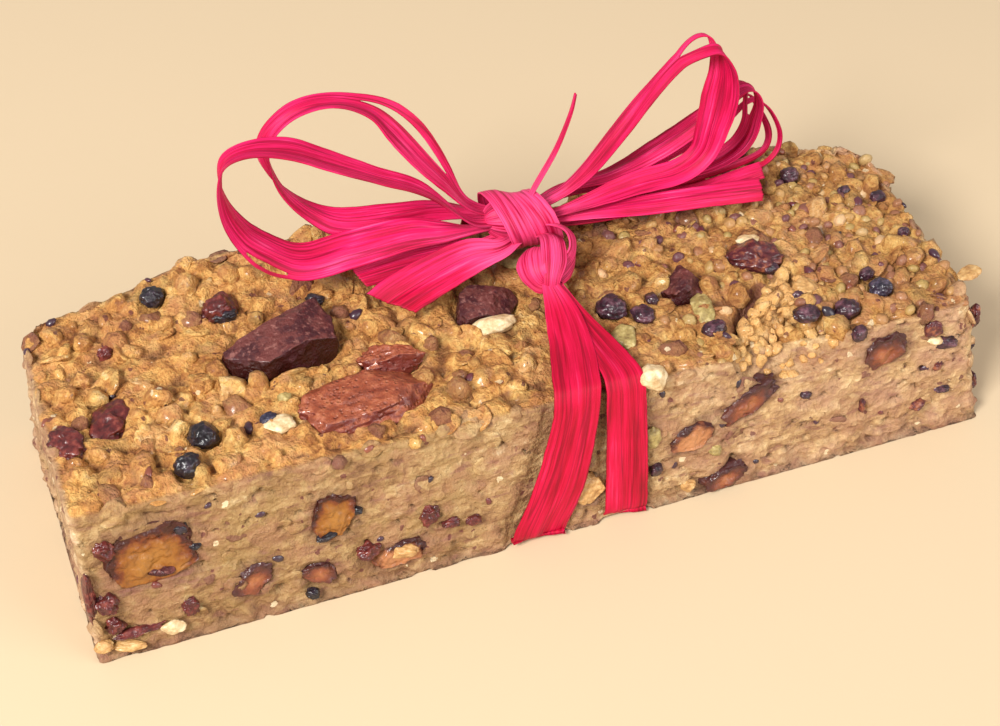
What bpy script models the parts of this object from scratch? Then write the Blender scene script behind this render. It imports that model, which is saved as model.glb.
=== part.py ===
"""A cut granola bar tied round the middle with a raffia bow, in metres, +Z up.

The origin is under the middle of the bar, on the surface that it rests on.
The bar is long in X, its cut front face looks towards -Y, and its baked top is up.
"""
import math
import random

import bmesh
import bpy
from mathutils import Matrix, Vector, noise
from mathutils.geometry import intersect_point_line

MM = 0.001

BAR_LENGTH = 114.0 * MM
BAR_WIDTH = 35.4 * MM
BAR_HEIGHT = 20.6 * MM
TOP_EDGE_ROUND = 1.5 * MM
RIM_CELL = 1.3 * MM
CELLS_LONG, CELLS_WIDE, CELLS_HIGH = 30, 9, 6
CRUMB_SINK_TOP = 0.7 * MM
CRUMB_SINK_SIDE = 0.3 * MM
CRUMB_RELIEF = 0.5 * MM
CRUMB_SCALE = 6.0 * MM

# How far each corner of the hand-cut bar is from a true box, by its X, Y and Z side.
CORNER_SHIFT = {
    (-1, -1, -1): Vector((0.2, -2.0, 0.0)) * MM,
    (1, -1, -1): Vector((0.8, 0.0, 0.0)) * MM,
    (1, -1, 1): Vector((-1.9, 0.7, -0.9)) * MM,
    (-1, -1, 1): Vector((0.2, 1.5, 0.7)) * MM,
    (-1, 1, 1): Vector((0.4, -0.4, -0.5)) * MM,
    (1, 1, 1): Vector((0.5, -0.8, -0.5)) * MM,
    (-1, 1, -1): Vector((-0.5, 1.6, 0.0)) * MM,
    (1, 1, -1): Vector((0.0, 0.4, 0.0)) * MM,
}

TORN_STEP_AT = Vector((30.0, -16.5, 20.0)) * MM
TORN_STEP_REACH = Vector((8.0, 6.5, 6.0)) * MM
TORN_STEP_DEPTH = 2.6 * MM

GAP = 0.3 * MM
RIBBON_THICKNESS = 0.5 * MM
RIBBON_FOLD = 0.09
RIBBON_STEPS = 2
GROOVE_OPENING = 1.6 * MM

SEED = 11
GRAIN_SIDES, GRAIN_RINGS = 5, 4
GRAIN_ROOT = 2.6 * MM
TRIES = 24
# Kind: number, semi-axes, and how far the middle lies below the surface.
TOP_GRAINS = {
    "oat": (31, Vector((2.7, 1.9, 0.8)) * MM, 0.1 * MM),
    "puff": (46, Vector((1.5, 1.4, 1.2)) * MM, 0.4 * MM),
}
SIDE_GRAINS = {
    "oat": (16, Vector((2.2, 1.3, 0.6)) * MM, 0.25 * MM),
    "puff": (9, Vector((1.2, 1.1, 0.9)) * MM, 0.45 * MM),
}
END_GRAIN_SHARE = 0.25

KNOT_AT = Vector((5.0, 10.3, 24.6)) * MM
KNOT_LENGTH = 11.6 * MM
LOWER_KNOT_AT = Vector((5.9, 2.8, 24.4)) * MM
LOWER_KNOT_SIZE = Vector((3.7, 3.5, 3.3)) * MM

# Routes of the ribbon: X, Y, Z, width in millimetres, then the roll in degrees.
LOOPS = {
    "bow_loop_left_upper": (
        (-1.3, 11.6, 27.6, 1.6, 0), (-3.9, 11.6, 32.4, 3.0, -10), (-7.0, 12.0, 37.3, 3.6, -20),
        (-9.7, 13.0, 41.3, 3.6, -20), (-12.5, 13.5, 43.9, 2.8, -10), (-17.1, 14.0, 45.3, 2.8, 0),
        (-21.6, 14.0, 44.9, 2.6, 0), (-24.9, 14.0, 42.1, 2.2, 0), (-25.6, 13.8, 38.6, 2.4, 0),
        (-23.9, 13.7, 34.0, 2.6, 15), (-20.6, 13.6, 29.9, 3.0, 30), (-16.7, 12.8, 27.9, 3.6, 40),
        (-10.1, 12.0, 27.6, 3.4, 30), (-5.5, 12.2, 27.0, 2.6, 25), (-1.3, 11.9, 25.8, 1.6, 0)),
    "bow_loop_left_lower": (
        (-1.3, 9.2, 26.7, 1.6, 0), (-7.3, 9.3, 33.2, 2.6, -10), (-13.0, 9.0, 37.0, 3.0, -10),
        (-18.8, 9.0, 40.7, 3.6, -10), (-23.3, 9.0, 43.5, 4.0, -5), (-27.9, 9.0, 44.6, 3.0, 0),
        (-31.2, 8.8, 43.7, 2.6, 10), (-32.1, 8.5, 40.2, 2.8, 20), (-31.1, 8.5, 35.3, 3.6, 30),
        (-28.2, 8.5, 30.6, 4.4, 38), (-23.3, 8.5, 27.0, 4.6, 42), (-17.1, 8.8, 26.9, 4.6, 42),
        (-10.1, 9.0, 27.1, 4.0, 40), (-5.5, 9.0, 26.2, 2.9, 30), (-1.3, 9.6, 24.9, 1.6, 0)),
    "bow_loop_right_tall": (
        (11.3, 10.9, 26.6, 1.6, 0), (14.4, 10.5, 29.6, 2.4, 0), (18.1, 10.3, 34.6, 2.8, 0),
        (21.7, 10.3, 39.3, 3.0, 0), (25.9, 10.3, 43.7, 3.2, 0), (29.2, 10.0, 44.8, 3.4, 0),
        (30.7, 9.5, 41.4, 3.8, -40), (30.6, 9.0, 37.3, 4.6, -60), (29.9, 8.8, 33.1, 4.2, -60),
        (28.8, 8.8, 29.6, 3.4, -40), (25.8, 8.8, 27.7, 3.2, -35), (19.9, 8.9, 27.2, 3.0, -35),
        (11.3, 9.0, 25.6, 1.6, 0)),
    "bow_loop_right_middle": (
        (11.3, 12.2, 25.9, 1.6, 0), (18.2, 12.5, 26.2, 2.4, 20), (25.2, 13.0, 28.4, 3.0, 30),
        (31.4, 13.3, 31.6, 3.0, 20), (35.2, 13.3, 34.6, 2.6, 0), (37.0, 13.2, 34.6, 2.4, -20),
        (37.8, 12.9, 31.8, 2.6, -40), (36.9, 12.6, 27.4, 2.8, -40), (33.2, 12.0, 25.4, 2.6, -35),
        (26.5, 11.5, 24.9, 2.4, -35), (16.5, 10.7, 23.9, 2.0, -20), (11.3, 10.6, 23.9, 1.6, 0)),
    "bow_loop_right_outer": (
        (11.3, 12.6, 24.6, 1.4, 0), (18.0, 13.6, 24.4, 1.8, 20), (26.7, 14.8, 25.4, 1.8, 20),
        (34.0, 15.0, 28.4, 1.8, 10), (38.6, 15.3, 31.6, 1.8, 0), (41.8, 15.0, 29.5, 1.8, -30),
        (43.7, 14.0, 25.8, 1.8, -40), (42.6, 13.2, 23.4, 1.8, -40), (37.4, 12.3, 22.9, 1.8, -30),
        (30.1, 11.8, 22.8, 1.8, -30), (18.1, 12.2, 22.6, 1.6, -10), (11.3, 11.9, 22.9, 1.4, 0)),
}
TAILS = {
    "ribbon_tail_left_front": (
        (1.2, 5.6, 24.4, 2.0, -30), (-3.0, 5.4, 24.6, 4.4, -42), (-8.7, 4.0, 24.0, 5.2, -42),
        (-14.1, 2.8, 23.0, 5.4, -35)),
    "ribbon_tail_left_back": (
        (-1.3, 8.2, 23.9, 1.6, 0), (-4.5, 7.9, 24.2, 2.6, -40), (-11.1, 7.8, 24.2, 3.2, -42),
        (-16.0, 7.5, 24.1, 3.0, -42)),
    "ribbon_tail_right_front": (
        (11.3, 8.8, 24.2, 1.6, 0), (21.1, 7.6, 24.4, 2.6, 40), (29.5, 7.4, 23.7, 2.8, 40),
        (38.4, 7.2, 22.8, 3.0, 40)),
    "ribbon_tail_right_back": (
        (11.3, 9.9, 22.4, 1.4, 0), (20.0, 9.3, 22.7, 2.0, 20), (30.0, 9.3, 23.2, 2.2, 30),
        (41.5, 9.9, 24.0, 2.2, 40)),
    "ribbon_sliver": (
        (6.9, 10.2, 28.6, 0.9, 0), (9.6, 10.1, 34.1, 0.9, 0), (11.2, 10.0, 39.0, 0.7, 0),
        (11.8, 10.0, 42.2, 0.5, 0)),
}
# Each strap runs from the lower knot over the front, under the bar and up the back.
STRAPS = {
    "ribbon_strap_left": (
        (4.6, -1.5, 23.2, 2.2, 0), (4.1, -5.0, 21.9, 3.2, 0), (2.8, -11.0, 21.4, 4.4, 0),
        (1.5, -15.8, 21.3, 5.0, 0), (0.9, -17.5, 20.4, 5.2, 0), (0.5, -18.0, 17.5, 5.4, 0),
        (-0.8, -18.8, 9.0, 6.2, 0), (-2.2, -19.6, 2.2, 6.8, 0), (-2.4, -19.1, 0.9, 6.8, 0),
        (-2.3, -17.9, 0.55, 6.6, 0), (-1.6, -9.0, 0.55, 6.0, 0), (0.4, 9.0, 0.55, 5.4, 0),
        (1.4, 17.6, 0.55, 5.2, 0), (1.5, 18.8, 0.9, 5.2, 0), (1.6, 19.2, 2.2, 5.2, 0),
        (1.9, 18.5, 10.0, 5.0, 0), (2.4, 17.7, 18.5, 4.4, 0), (2.6, 17.0, 20.9, 4.0, 0),
        (3.0, 15.8, 21.9, 3.4, 0), (3.9, 14.3, 22.6, 2.4, 0)),
    "ribbon_strap_right": (
        (7.3, -1.5, 22.9, 1.8, 0), (7.7, -5.0, 21.9, 2.6, 0), (8.1, -11.0, 21.4, 3.6, 0),
        (8.5, -15.6, 21.3, 4.2, 0), (8.7, -17.3, 20.4, 4.4, 0), (8.8, -17.9, 17.5, 4.6, 0),
        (9.1, -18.7, 9.0, 5.0, 0), (9.3, -19.4, 2.2, 5.4, 0), (9.4, -18.9, 0.9, 5.4, 0),
        (9.4, -17.7, 0.55, 5.4, 0), (9.3, -9.0, 0.55, 5.0, 0), (9.0, 9.0, 0.55, 4.8, 0),
        (8.7, 17.5, 0.55, 4.6, 0), (8.6, 18.7, 0.9, 4.6, 0), (8.5, 19.1, 2.2, 4.6, 0),
        (8.2, 18.4, 10.0, 4.4, 0), (7.9, 17.6, 18.5, 3.8, 0), (7.7, 16.9, 20.9, 3.4, 0),
        (7.4, 15.7, 21.9, 2.8, 0), (7.0, 14.3, 22.6, 2.2, 0)),
}

# Pieces set in the baked top: X, Y, how high the middle lies against the surface,
# then length, width, height, turn in degrees and how boxy the piece is.
TOP_PIECES = {
    "chocolate_block": ((-27.9, 2.5, 0.2), (13.6, 8.6, 6.0), 12, 0.75),
    "date_piece": ((-20.7, -9.0, -1.2), (15.6, 7.8, 4.0), 4, 0.60),
    "date_tip": ((-14.8, -3.2, -0.5), (6.0, 3.0, 3.2), 10, 0.20),
    "currant_front": ((-42.6, -13.0, 0.3), (3.9, 3.6, 3.4), 30, 0.0),
    "currant_back": ((-39.9, -9.0, 0.4), (4.2, 3.9, 3.6), -20, 0.0),
    "currant_edge": ((-40.3, 15.0, 0.0), (3.6, 3.2, 3.2), 0, 0.0),
    "cranberry_back": ((-33.6, 11.2, 0.0), (5.2, 4.0, 3.6), 25, 0.15),
    "cranberry_left": ((-49.4, -2.2, -0.9), (7.4, 4.6, 3.2), 70, 0.25),
    "chocolate_under_bow": ((-2.6, 1.6, -0.6), (9.4, 6.4, 4.4), 8, 0.50),
    "currant_by_strap": ((13.2, -3.4, 0.2), (4.0, 3.8, 3.4), 0, 0.0),
    "chocolate_chip_right": ((22.0, -3.2, 0.0), (5.6, 4.8, 4.0), 35, 0.55),
    "cranberry_right": ((32.3, -0.8, -0.2), (7.0, 5.0, 3.8), -25, 0.30),
    "currant_far_right": ((44.5, 11.2, 0.0), (4.0, 3.6, 3.2), 0, 0.0),
    "currant_right_front": ((39.4, -13.2, -0.1), (3.8, 3.4, 3.0), 0, 0.0),
    "berry_blue": ((44.0, -10.6, 0.1), (3.4, 3.2, 3.0), 0, 0.0),
}
# Pieces that the knife cut through: X and Z on the front face, length, depth, height,
# turn in degrees and how boxy the piece is.
FRONT_PIECES = {
    "caramel_left": ((-48.7, 11.2), (9.6, 7.0, 8.2), 8, 0.55),
    "caramel_middle": ((-27.4, 11.0), (6.0, 5.0, 5.2), 80, 0.55),
    "cranberry_low_left": ((-38.3, 4.6), (5.4, 4.0, 3.8), 40, 0.20),
    "cranberry_low_middle": ((-29.6, 3.6), (4.6, 3.6, 3.2), -15, 0.20),
    "date_low": ((-17.6, 4.4), (6.4, 4.4, 3.4), 10, 0.40),
    "nut_between_straps": ((4.0, 3.9), (4.0, 4.6, 4.4), 60, 0.30),
    "date_by_strap": ((18.6, 8.4), (6.2, 4.2, 4.0), 30, 0.30),
    "cranberry_slanted": ((26.4, 12.2), (8.2, 4.4, 3.4), 32, 0.25),
    "cranberry_right_end": ((43.4, 13.2), (6.2, 4.4, 4.6), 20, 0.25),
    "date_at_foot": ((25.2, 3.2), (6.0, 4.0, 3.2), 12, 0.30),
}
FRONT_FACE_BULGE = 0.15 * MM
PIECE_CREASE = 0.16
PIECE_SQUARENESS = 0.85
FRONT_PIECE_SINK = 0.9 * MM
SOCKET_SPREAD = 0.4 * MM

FINISHES = {
    "granola": ((0.50, 0.30, 0.13), 0.55),
    "raffia": ((0.72, 0.02, 0.10), 0.42),
    "chocolate": ((0.075, 0.022, 0.020), 0.35),
    "date": ((0.30, 0.085, 0.035), 0.30),
    "cranberry": ((0.20, 0.018, 0.020), 0.25),
    "currant": ((0.030, 0.015, 0.022), 0.25),
    "berry": ((0.060, 0.035, 0.110), 0.30),
    "caramel": ((0.38, 0.13, 0.030), 0.25),
    "nut": ((0.52, 0.28, 0.09), 0.35),
    "bow": ((0.72, 0.02, 0.10), 0.42),
    "ribbon": ((0.72, 0.02, 0.10), 0.42),
}


def clear_scene():
    for obj in list(bpy.data.objects):
        bpy.data.objects.remove(obj, do_unlink=True)


def finish_for(name):
    """Return the material that the first word of a piece's name stands for."""
    word = name.split("_")[0]
    material = bpy.data.materials.get(word)
    if material is None:
        colour, roughness = FINISHES[word]
        material = bpy.data.materials.new(word)
        material.use_nodes = True
        shader = material.node_tree.nodes["Principled BSDF"]
        shader.inputs["Base Color"].default_value = (*colour, 1.0)
        shader.inputs["Roughness"].default_value = roughness
        material.diffuse_color = (*colour, 1.0)
    return material


def make_object(name, mesh_tool, material=None):
    bmesh.ops.recalc_face_normals(mesh_tool, faces=mesh_tool.faces)
    mesh = bpy.data.meshes.new(name)
    mesh_tool.to_mesh(mesh)
    mesh_tool.free()
    obj = bpy.data.objects.new(name, mesh)
    bpy.context.collection.objects.link(obj)
    if material:
        mesh.materials.append(material)
    return obj


def smooth_route(controls, steps):
    """Return points of a smooth curve through rows of numbers, with steps points a span."""
    rows = [Vector(row) for row in controls]
    ends = [2 * rows[0] - rows[1]] + rows + [2 * rows[-1] - rows[-2]]
    points = []
    for before, start, stop, after in zip(ends, ends[1:], ends[2:], ends[3:]):
        for step in range(steps):
            t = step / steps
            points.append(0.5 * (2 * start + (stop - before) * t
                                 + (2 * before - 5 * start + 4 * stop - after) * t ** 2
                                 + (3 * start - before - 3 * stop + after) * t ** 3))
    return points + [rows[-1]]


def ribbon(name, route, across, inner, outer, fold=0.0, widen=0.0, steps=1, material=None):
    """Sweep a creased strip along a route; inner and outer are its reach off the route."""
    xyz = smooth_route([row[:3] for row in route], steps)
    sizes = smooth_route([(row[3], row[4], 0.0) for row in route], steps)
    mesh_tool = bmesh.new()
    rings = []
    for index, point in enumerate(xyz):
        before, after = xyz[max(index - 1, 0)], xyz[min(index + 1, len(xyz) - 1)]
        along = (after - before).normalized()
        side = (across - across.dot(along) * along).normalized()
        roll = math.radians(sizes[index][1])
        side = math.cos(roll) * side + math.sin(roll) * along.cross(side)
        normal = along.cross(side)
        half = sizes[index][0] * MM / 2 + widen
        crease = normal * half * 2 * fold
        middle = point * MM
        ring = [middle - side * half - normal * inner, middle + crease - normal * inner,
                middle + side * half - normal * inner, middle + side * half + normal * outer,
                middle + crease + normal * outer, middle - side * half + normal * outer]
        rings.append([mesh_tool.verts.new(corner) for corner in ring])
    for ring, following in zip(rings, rings[1:]):
        for corner in range(6):
            other = (corner + 1) % 6
            mesh_tool.faces.new((ring[corner], ring[other], following[other], following[corner]))
    mesh_tool.faces.new(rings[0])
    mesh_tool.faces.new(rings[-1])
    return make_object(name, mesh_tool, material)


def corner_shift(u, v, w):
    """Blend the eight corner shifts at a place given from -1 to 1 along each axis."""
    total = Vector()
    for (x, y, z), shift in CORNER_SHIFT.items():
        total += shift * (1 + x * u) * (1 + y * v) * (1 + z * w) / 8
    return total


def torn_step(point):
    """Return how far the broken front edge pulls a point back, from 0 to 1."""
    offset = [(point[axis] - TORN_STEP_AT[axis]) / TORN_STEP_REACH[axis] for axis in range(3)]
    return max(0.0, 1.0 - sum(value ** 2 for value in offset)) ** 0.5


def bar_point(u, v, w):
    """Place a point of the unit cube on the uneven bar's outline, without its relief."""
    half = Vector((BAR_LENGTH, BAR_WIDTH, BAR_HEIGHT)) / 2
    place = Vector((u * half.x, v * half.y, w * half.z))
    rounding = TOP_EDGE_ROUND * (0.35 + 0.65 * (w + 1) / 2)
    inside = Vector([max(-half[axis] + rounding, min(half[axis] - rounding, place[axis]))
                     for axis in range(3)])
    if w <= -0.999:
        inside.z = place.z
    beyond = place - inside
    if beyond.length > rounding:
        place = inside + beyond.normalized() * rounding
    place += corner_shift(u, v, w)
    place.z += half.z
    return place


def stations(size, count):
    """Return places from -1 to 1 that are close together at both rims."""
    rim = 2 * RIM_CELL / size
    inner = [-1 + rim + (2 - 2 * rim) * step / (count - 2) for step in range(count - 1)]
    return [-1.0] + inner + [1.0]


def crumb_core():
    """Make the bar's body: a rounded uneven box whose faces have low relief."""
    lines = (stations(BAR_LENGTH, CELLS_LONG), stations(BAR_WIDTH, CELLS_WIDE),
             stations(BAR_HEIGHT, CELLS_HIGH))
    last = [len(line) - 1 for line in lines]
    mesh_tool = bmesh.new()
    corners = {}

    def corner(key):
        if key in corners:
            return corners[key]
        u, v, w = (lines[axis][key[axis]] for axis in range(3))
        place = bar_point(u, v, w)
        outward = Vector((u if key[0] in (0, last[0]) else 0.0,
                          v if key[1] in (0, last[1]) else 0.0,
                          w if key[2] == last[2] else 0.0))
        if key[2] > 0 or outward.length > 0:
            sink = CRUMB_SINK_TOP if outward.z > 0 else CRUMB_SINK_SIDE
            relief = noise.noise(place / CRUMB_SCALE) * CRUMB_RELIEF
            if outward.length > 0:
                outward.normalize()
            place -= outward * (sink - relief)
            place -= Vector((0.0, -1.0, 0.9)) * TORN_STEP_DEPTH * torn_step(place)
        if key[2] == 0:
            place.z = 0.0
        corners[key] = mesh_tool.verts.new(place)
        return corners[key]

    for axis in range(3):
        first, second = [other for other in range(3) if other != axis]
        for end in (0, last[axis]):
            for i in range(last[first]):
                for j in range(last[second]):
                    keys = []
                    for step_i, step_j in ((0, 0), (1, 0), (1, 1), (0, 1)):
                        key = [0, 0, 0]
                        key[axis], key[first], key[second] = end, i + step_i, j + step_j
                        keys.append(corner(tuple(key)))
                    mesh_tool.faces.new(keys)
    flat = [face for face in mesh_tool.faces if all(vert.co.z == 0.0 for vert in face.verts)]
    bmesh.ops.dissolve_faces(mesh_tool, faces=flat)
    return make_object("granola_bar", mesh_tool, finish_for("granola"))


def rounded_stone(mesh_tool, size, boxy, seed, spread=0.0):
    """Add a lumpy stone about the origin, between a ball (boxy 0) and a block (boxy 1)."""
    stone = bmesh.ops.create_icosphere(mesh_tool, subdivisions=2, radius=1.0)["verts"]
    for vert in stone:
        way = vert.co.normalized()
        block = way / max(abs(way.x), abs(way.y), abs(way.z))
        shape = way.lerp(block, PIECE_SQUARENESS * boxy)
        lump = 1 + PIECE_CREASE * noise.noise(way * 1.7 + Vector((seed * 3.1, seed, 0.0)))
        vert.co = Vector([shape[axis] * lump * (size[axis] / 2 + spread) for axis in range(3)])
    return stone


def top_height(x, y):
    """Return the height of the bar's top outline over a place."""
    u, v = 2 * x / BAR_LENGTH, 2 * y / BAR_WIDTH
    return BAR_HEIGHT + corner_shift(u, v, 1.0).z


def front_depth(x, z):
    """Return Y of the cut front face at a place."""
    u, w = 2 * x / BAR_LENGTH, 2 * z / BAR_HEIGHT - 1
    return -BAR_WIDTH / 2 + corner_shift(u, -1.0, w).y


def top_piece(name, row, seed, spread=0.0):
    """Make a piece set in the top, or, with a spread, the cutter of its socket."""
    (x, y, raised), size, turn, boxy = row
    mesh_tool = bmesh.new()
    rounded_stone(mesh_tool, Vector(size) * MM, boxy, seed, spread)
    place = Vector((x * MM, y * MM, top_height(x * MM, y * MM) + raised * MM))
    mesh_tool.transform(Matrix.Translation(place) @ Matrix.Rotation(math.radians(turn), 4, "Z"))
    return make_object(name, mesh_tool, finish_for(name.split("|")[0]))


def front_piece(name, row, seed, spread=0.0):
    """Make a piece cut flush with the front face, or the cutter of its socket."""
    (x, z), size, turn, boxy = row
    mesh_tool = bmesh.new()
    stone = rounded_stone(mesh_tool, Vector(size) * MM, boxy, seed, spread)
    face = front_depth(x * MM, z * MM)
    place = Vector((x * MM, face + FRONT_PIECE_SINK, z * MM))
    mesh_tool.transform(Matrix.Translation(place) @ Matrix.Rotation(math.radians(-turn), 4, "Y"))
    if not spread:
        for vert in stone:
            cut = front_depth(vert.co.x, vert.co.z) - FRONT_FACE_BULGE
            vert.co.y = max(vert.co.y, cut)
    return make_object(name, mesh_tool, finish_for(name.split("|")[0]))


def grain(size, place, normal, turn):
    """Make one grain or flake lying on a face, with a root that reaches well into the bar."""
    mesh_tool = bmesh.new()
    ball = bmesh.ops.create_uvsphere(mesh_tool, u_segments=GRAIN_SIDES, v_segments=GRAIN_RINGS,
                                     radius=1.0)["verts"]
    for vert in ball:
        deep = GRAIN_ROOT if vert.co.z < 0 else size.z
        vert.co = Vector((vert.co.x * size.x, vert.co.y * size.y, vert.co.z * deep))
    stand = normal.to_track_quat("Z", "Y").to_matrix().to_4x4()
    mesh_tool.transform(Matrix.Translation(place) @ stand @ Matrix.Rotation(turn, 4, "Z"))
    return make_object("grain", mesh_tool)


def near_strap(spot, reach):
    """Say whether a place is closer to the edge of a strap than the reach."""
    for route in STRAPS.values():
        for start, stop in zip(route, route[1:]):
            a, b = Vector(start[:3]) * MM, Vector(stop[:3]) * MM
            foot, share = intersect_point_line(spot, a, b)
            foot = a.lerp(b, max(0.0, min(1.0, share)))
            if (spot - foot).length < max(start[3], stop[3]) / 2 * MM + reach:
                return True
    return False


def keep_clear():
    """List centres and reaches of what the grains stay away from."""
    spots = []
    for (x, y, raised), size, turn, boxy in TOP_PIECES.values():
        spots.append((Vector((x, y, 0.0)) * MM, max(size[:2]) / 2 * MM, 2))
    for (x, z), size, turn, boxy in FRONT_PIECES.values():
        spots.append((Vector((x, 0.0, z)) * MM, max(size[0], size[2]) / 2 * MM, 1))
    return spots


def spread_over(draw, count, reach, rim, taken, free, face):
    """Draw places on a face, each the best of several tries and clear of those before."""
    places = []
    for piece in range(count):
        best, best_room = None, 0.0
        for attempt in range(TRIES):
            spot = face(draw.uniform(-rim[0], rim[0]), draw.uniform(-rim[1], rim[1]))
            room = min([(spot - other).length - reach - other_reach
                        for other, other_reach in taken] or [1.0])
            if room > best_room and free(spot):
                best, best_room = spot, room
        if best is not None:
            taken.append((best, reach))
            places.append(best)
    return places


def scatter_grains():
    """Return the grains and flakes that stand out of the top, the sides and the ends."""
    draw = random.Random(SEED)
    spots = keep_clear()
    faces = {
        "top": (Vector((0, 0, 1)), TOP_GRAINS, 1.0, (0.97, 0.90), lambda a, b: bar_point(a, b, 1.0)),
        "front": (Vector((0, -1, 0)), SIDE_GRAINS, 1.0, (0.96, 0.74), lambda a, b: bar_point(a, -1.0, b)),
        "back": (Vector((0, 1, 0)), SIDE_GRAINS, 1.0, (0.96, 0.74), lambda a, b: bar_point(a, 1.0, b)),
        "left": (Vector((-1, 0, 0)), SIDE_GRAINS, END_GRAIN_SHARE, (0.82, 0.70),
                 lambda a, b: bar_point(-1.0, a, b)),
        "right": (Vector((1, 0, 0)), SIDE_GRAINS, END_GRAIN_SHARE, (0.82, 0.70),
                  lambda a, b: bar_point(1.0, a, b)),
    }
    grains = []
    taken = []
    for label, (normal, kinds, share, rim, face) in faces.items():
        for count, size, sink in kinds.values():
            reach = size.x

            def free(spot):
                if torn_step(spot) > 0 or near_strap(spot, reach + GAP):
                    return False
                for centre, radius, axis in spots:
                    if (axis == 2 and label == "top") or (axis == 1 and label == "front"):
                        flat = spot - centre
                        flat[axis] = 0.0
                        if flat.length < radius + reach + GAP:
                            return False
                return True

            for place in spread_over(draw, round(count * share), reach, rim, taken, free, face):
                tip = Vector([draw.uniform(-0.25, 0.25) for axis in range(3)])
                scale = draw.uniform(0.85, 1.12)
                deep = CRUMB_SINK_TOP if label == "top" else CRUMB_SINK_SIDE
                middle = place - normal * (deep + sink)
                grains.append(grain(size * scale, middle, (normal + tip).normalized(),
                                    draw.uniform(0, math.tau)))
    return grains


def apply_boolean(obj, operation, others):
    """Join the others to an object, or cut them from it, and remove them."""
    group = bpy.data.collections.new(operation.lower())
    for other in others:
        group.objects.link(other)
    step = obj.modifiers.new(operation.lower(), "BOOLEAN")
    step.operation = operation
    step.operand_type = "COLLECTION"
    step.collection = group
    step.solver = "EXACT"
    graph = bpy.context.evaluated_depsgraph_get()
    mesh = bpy.data.meshes.new_from_object(obj.evaluated_get(graph))
    obj.modifiers.clear()
    obj.data = mesh
    for other in others:
        bpy.data.objects.remove(other, do_unlink=True)
    bpy.data.collections.remove(group)


def drop_scraps(obj):
    """Keep the largest body of a mesh, counting bodies that only touch as apart."""
    mesh_tool = bmesh.new()
    mesh_tool.from_mesh(obj.data)
    left = set(mesh_tool.faces)
    bodies = []
    while left:
        queue = [left.pop()]
        body = []
        while queue:
            face = queue.pop()
            body.append(face)
            for edge in face.edges:
                for other in edge.link_faces:
                    if other in left:
                        left.remove(other)
                        queue.append(other)
        bodies.append(body)
    largest = max(bodies, key=len)
    loose = [face for body in bodies if body is not largest for face in body]
    bmesh.ops.delete(mesh_tool, geom=loose, context="FACES")
    mesh_tool.to_mesh(obj.data)
    mesh_tool.free()


def upper_knot():
    """Make the wrapped middle of the bow, with the slanting turn that binds it."""
    rings, sides = 13, 12
    mesh_tool = bmesh.new()
    loops = []
    for ring in range(rings):
        t = ring / (rings - 1)
        belly = math.sin(math.pi * t) ** 0.6
        loop = []
        for side in range(sides):
            angle = math.tau * side / sides
            band = math.exp(-((t - 0.52 - 0.16 * math.sin(angle)) / 0.17) ** 2)
            radius_y = (2.3 + 0.45 * belly + 0.75 * band) * MM
            radius_z = (2.2 + 0.35 * belly + 0.75 * band) * MM
            loop.append(mesh_tool.verts.new((
                KNOT_AT.x + (t - 0.5) * KNOT_LENGTH,
                KNOT_AT.y + radius_y * math.cos(angle),
                KNOT_AT.z + (0.5 - t) * 1.4 * MM + radius_z * math.sin(angle))))
        loops.append(loop)
    for loop, following in zip(loops, loops[1:]):
        for side in range(sides):
            other = (side + 1) % sides
            mesh_tool.faces.new((loop[side], loop[other], following[other], following[side]))
    mesh_tool.faces.new(loops[0])
    mesh_tool.faces.new(loops[-1])
    return make_object("ribbon_knot_upper", mesh_tool, finish_for("ribbon"))


def lower_knot():
    """Make the small overhand knot in front, with one turn standing out of it."""
    mesh_tool = bmesh.new()
    ball = bmesh.ops.create_uvsphere(mesh_tool, u_segments=14, v_segments=9, radius=1.0)["verts"]
    turn_axis = Vector((0.75, -0.35, 0.56)).normalized()
    for vert in ball:
        way = vert.co.normalized()
        ridge = math.exp(-(way.dot(turn_axis) / 0.30) ** 2)
        vert.co = Vector([way[axis] * (0.90 + 0.10 * ridge) * LOWER_KNOT_SIZE[axis]
                          for axis in range(3)]) + LOWER_KNOT_AT
    return make_object("ribbon_knot_lower", mesh_tool, finish_for("ribbon"))


def build():
    clear_scene()
    bar = crumb_core()
    apply_boolean(bar, "UNION", scatter_grains())
    cutters = []
    for seed, (name, row) in enumerate(TOP_PIECES.items()):
        top_piece(name, row, seed)
        cutters.append(top_piece(name + "|socket", row, seed, SOCKET_SPREAD))
    for seed, (name, row) in enumerate(FRONT_PIECES.items(), len(TOP_PIECES)):
        front_piece(name, row, seed)
        cutters.append(front_piece(name + "|socket", row, seed, SOCKET_SPREAD))
    half = RIBBON_THICKNESS / 2
    side_to_side = Vector((1, 0, 0))
    for name, route in STRAPS.items():
        ribbon(name, route, side_to_side, half, half, material=finish_for(name))
        cutters.append(ribbon(name + "|groove", route, side_to_side, half + GAP, half + GROOVE_OPENING,
                              widen=GAP))
    apply_boolean(bar, "DIFFERENCE", cutters)
    drop_scraps(bar)
    front_to_back = Vector((0, 1, 0))
    for name, route in {**LOOPS, **TAILS}.items():
        ribbon(name, route, front_to_back, half, half, fold=RIBBON_FOLD, steps=RIBBON_STEPS,
               material=finish_for(name))
    upper_knot()
    lower_knot()


build()
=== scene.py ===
import math
import random

import bmesh
import bpy
import numpy as np
from mathutils import Matrix, Vector, noise


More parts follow.
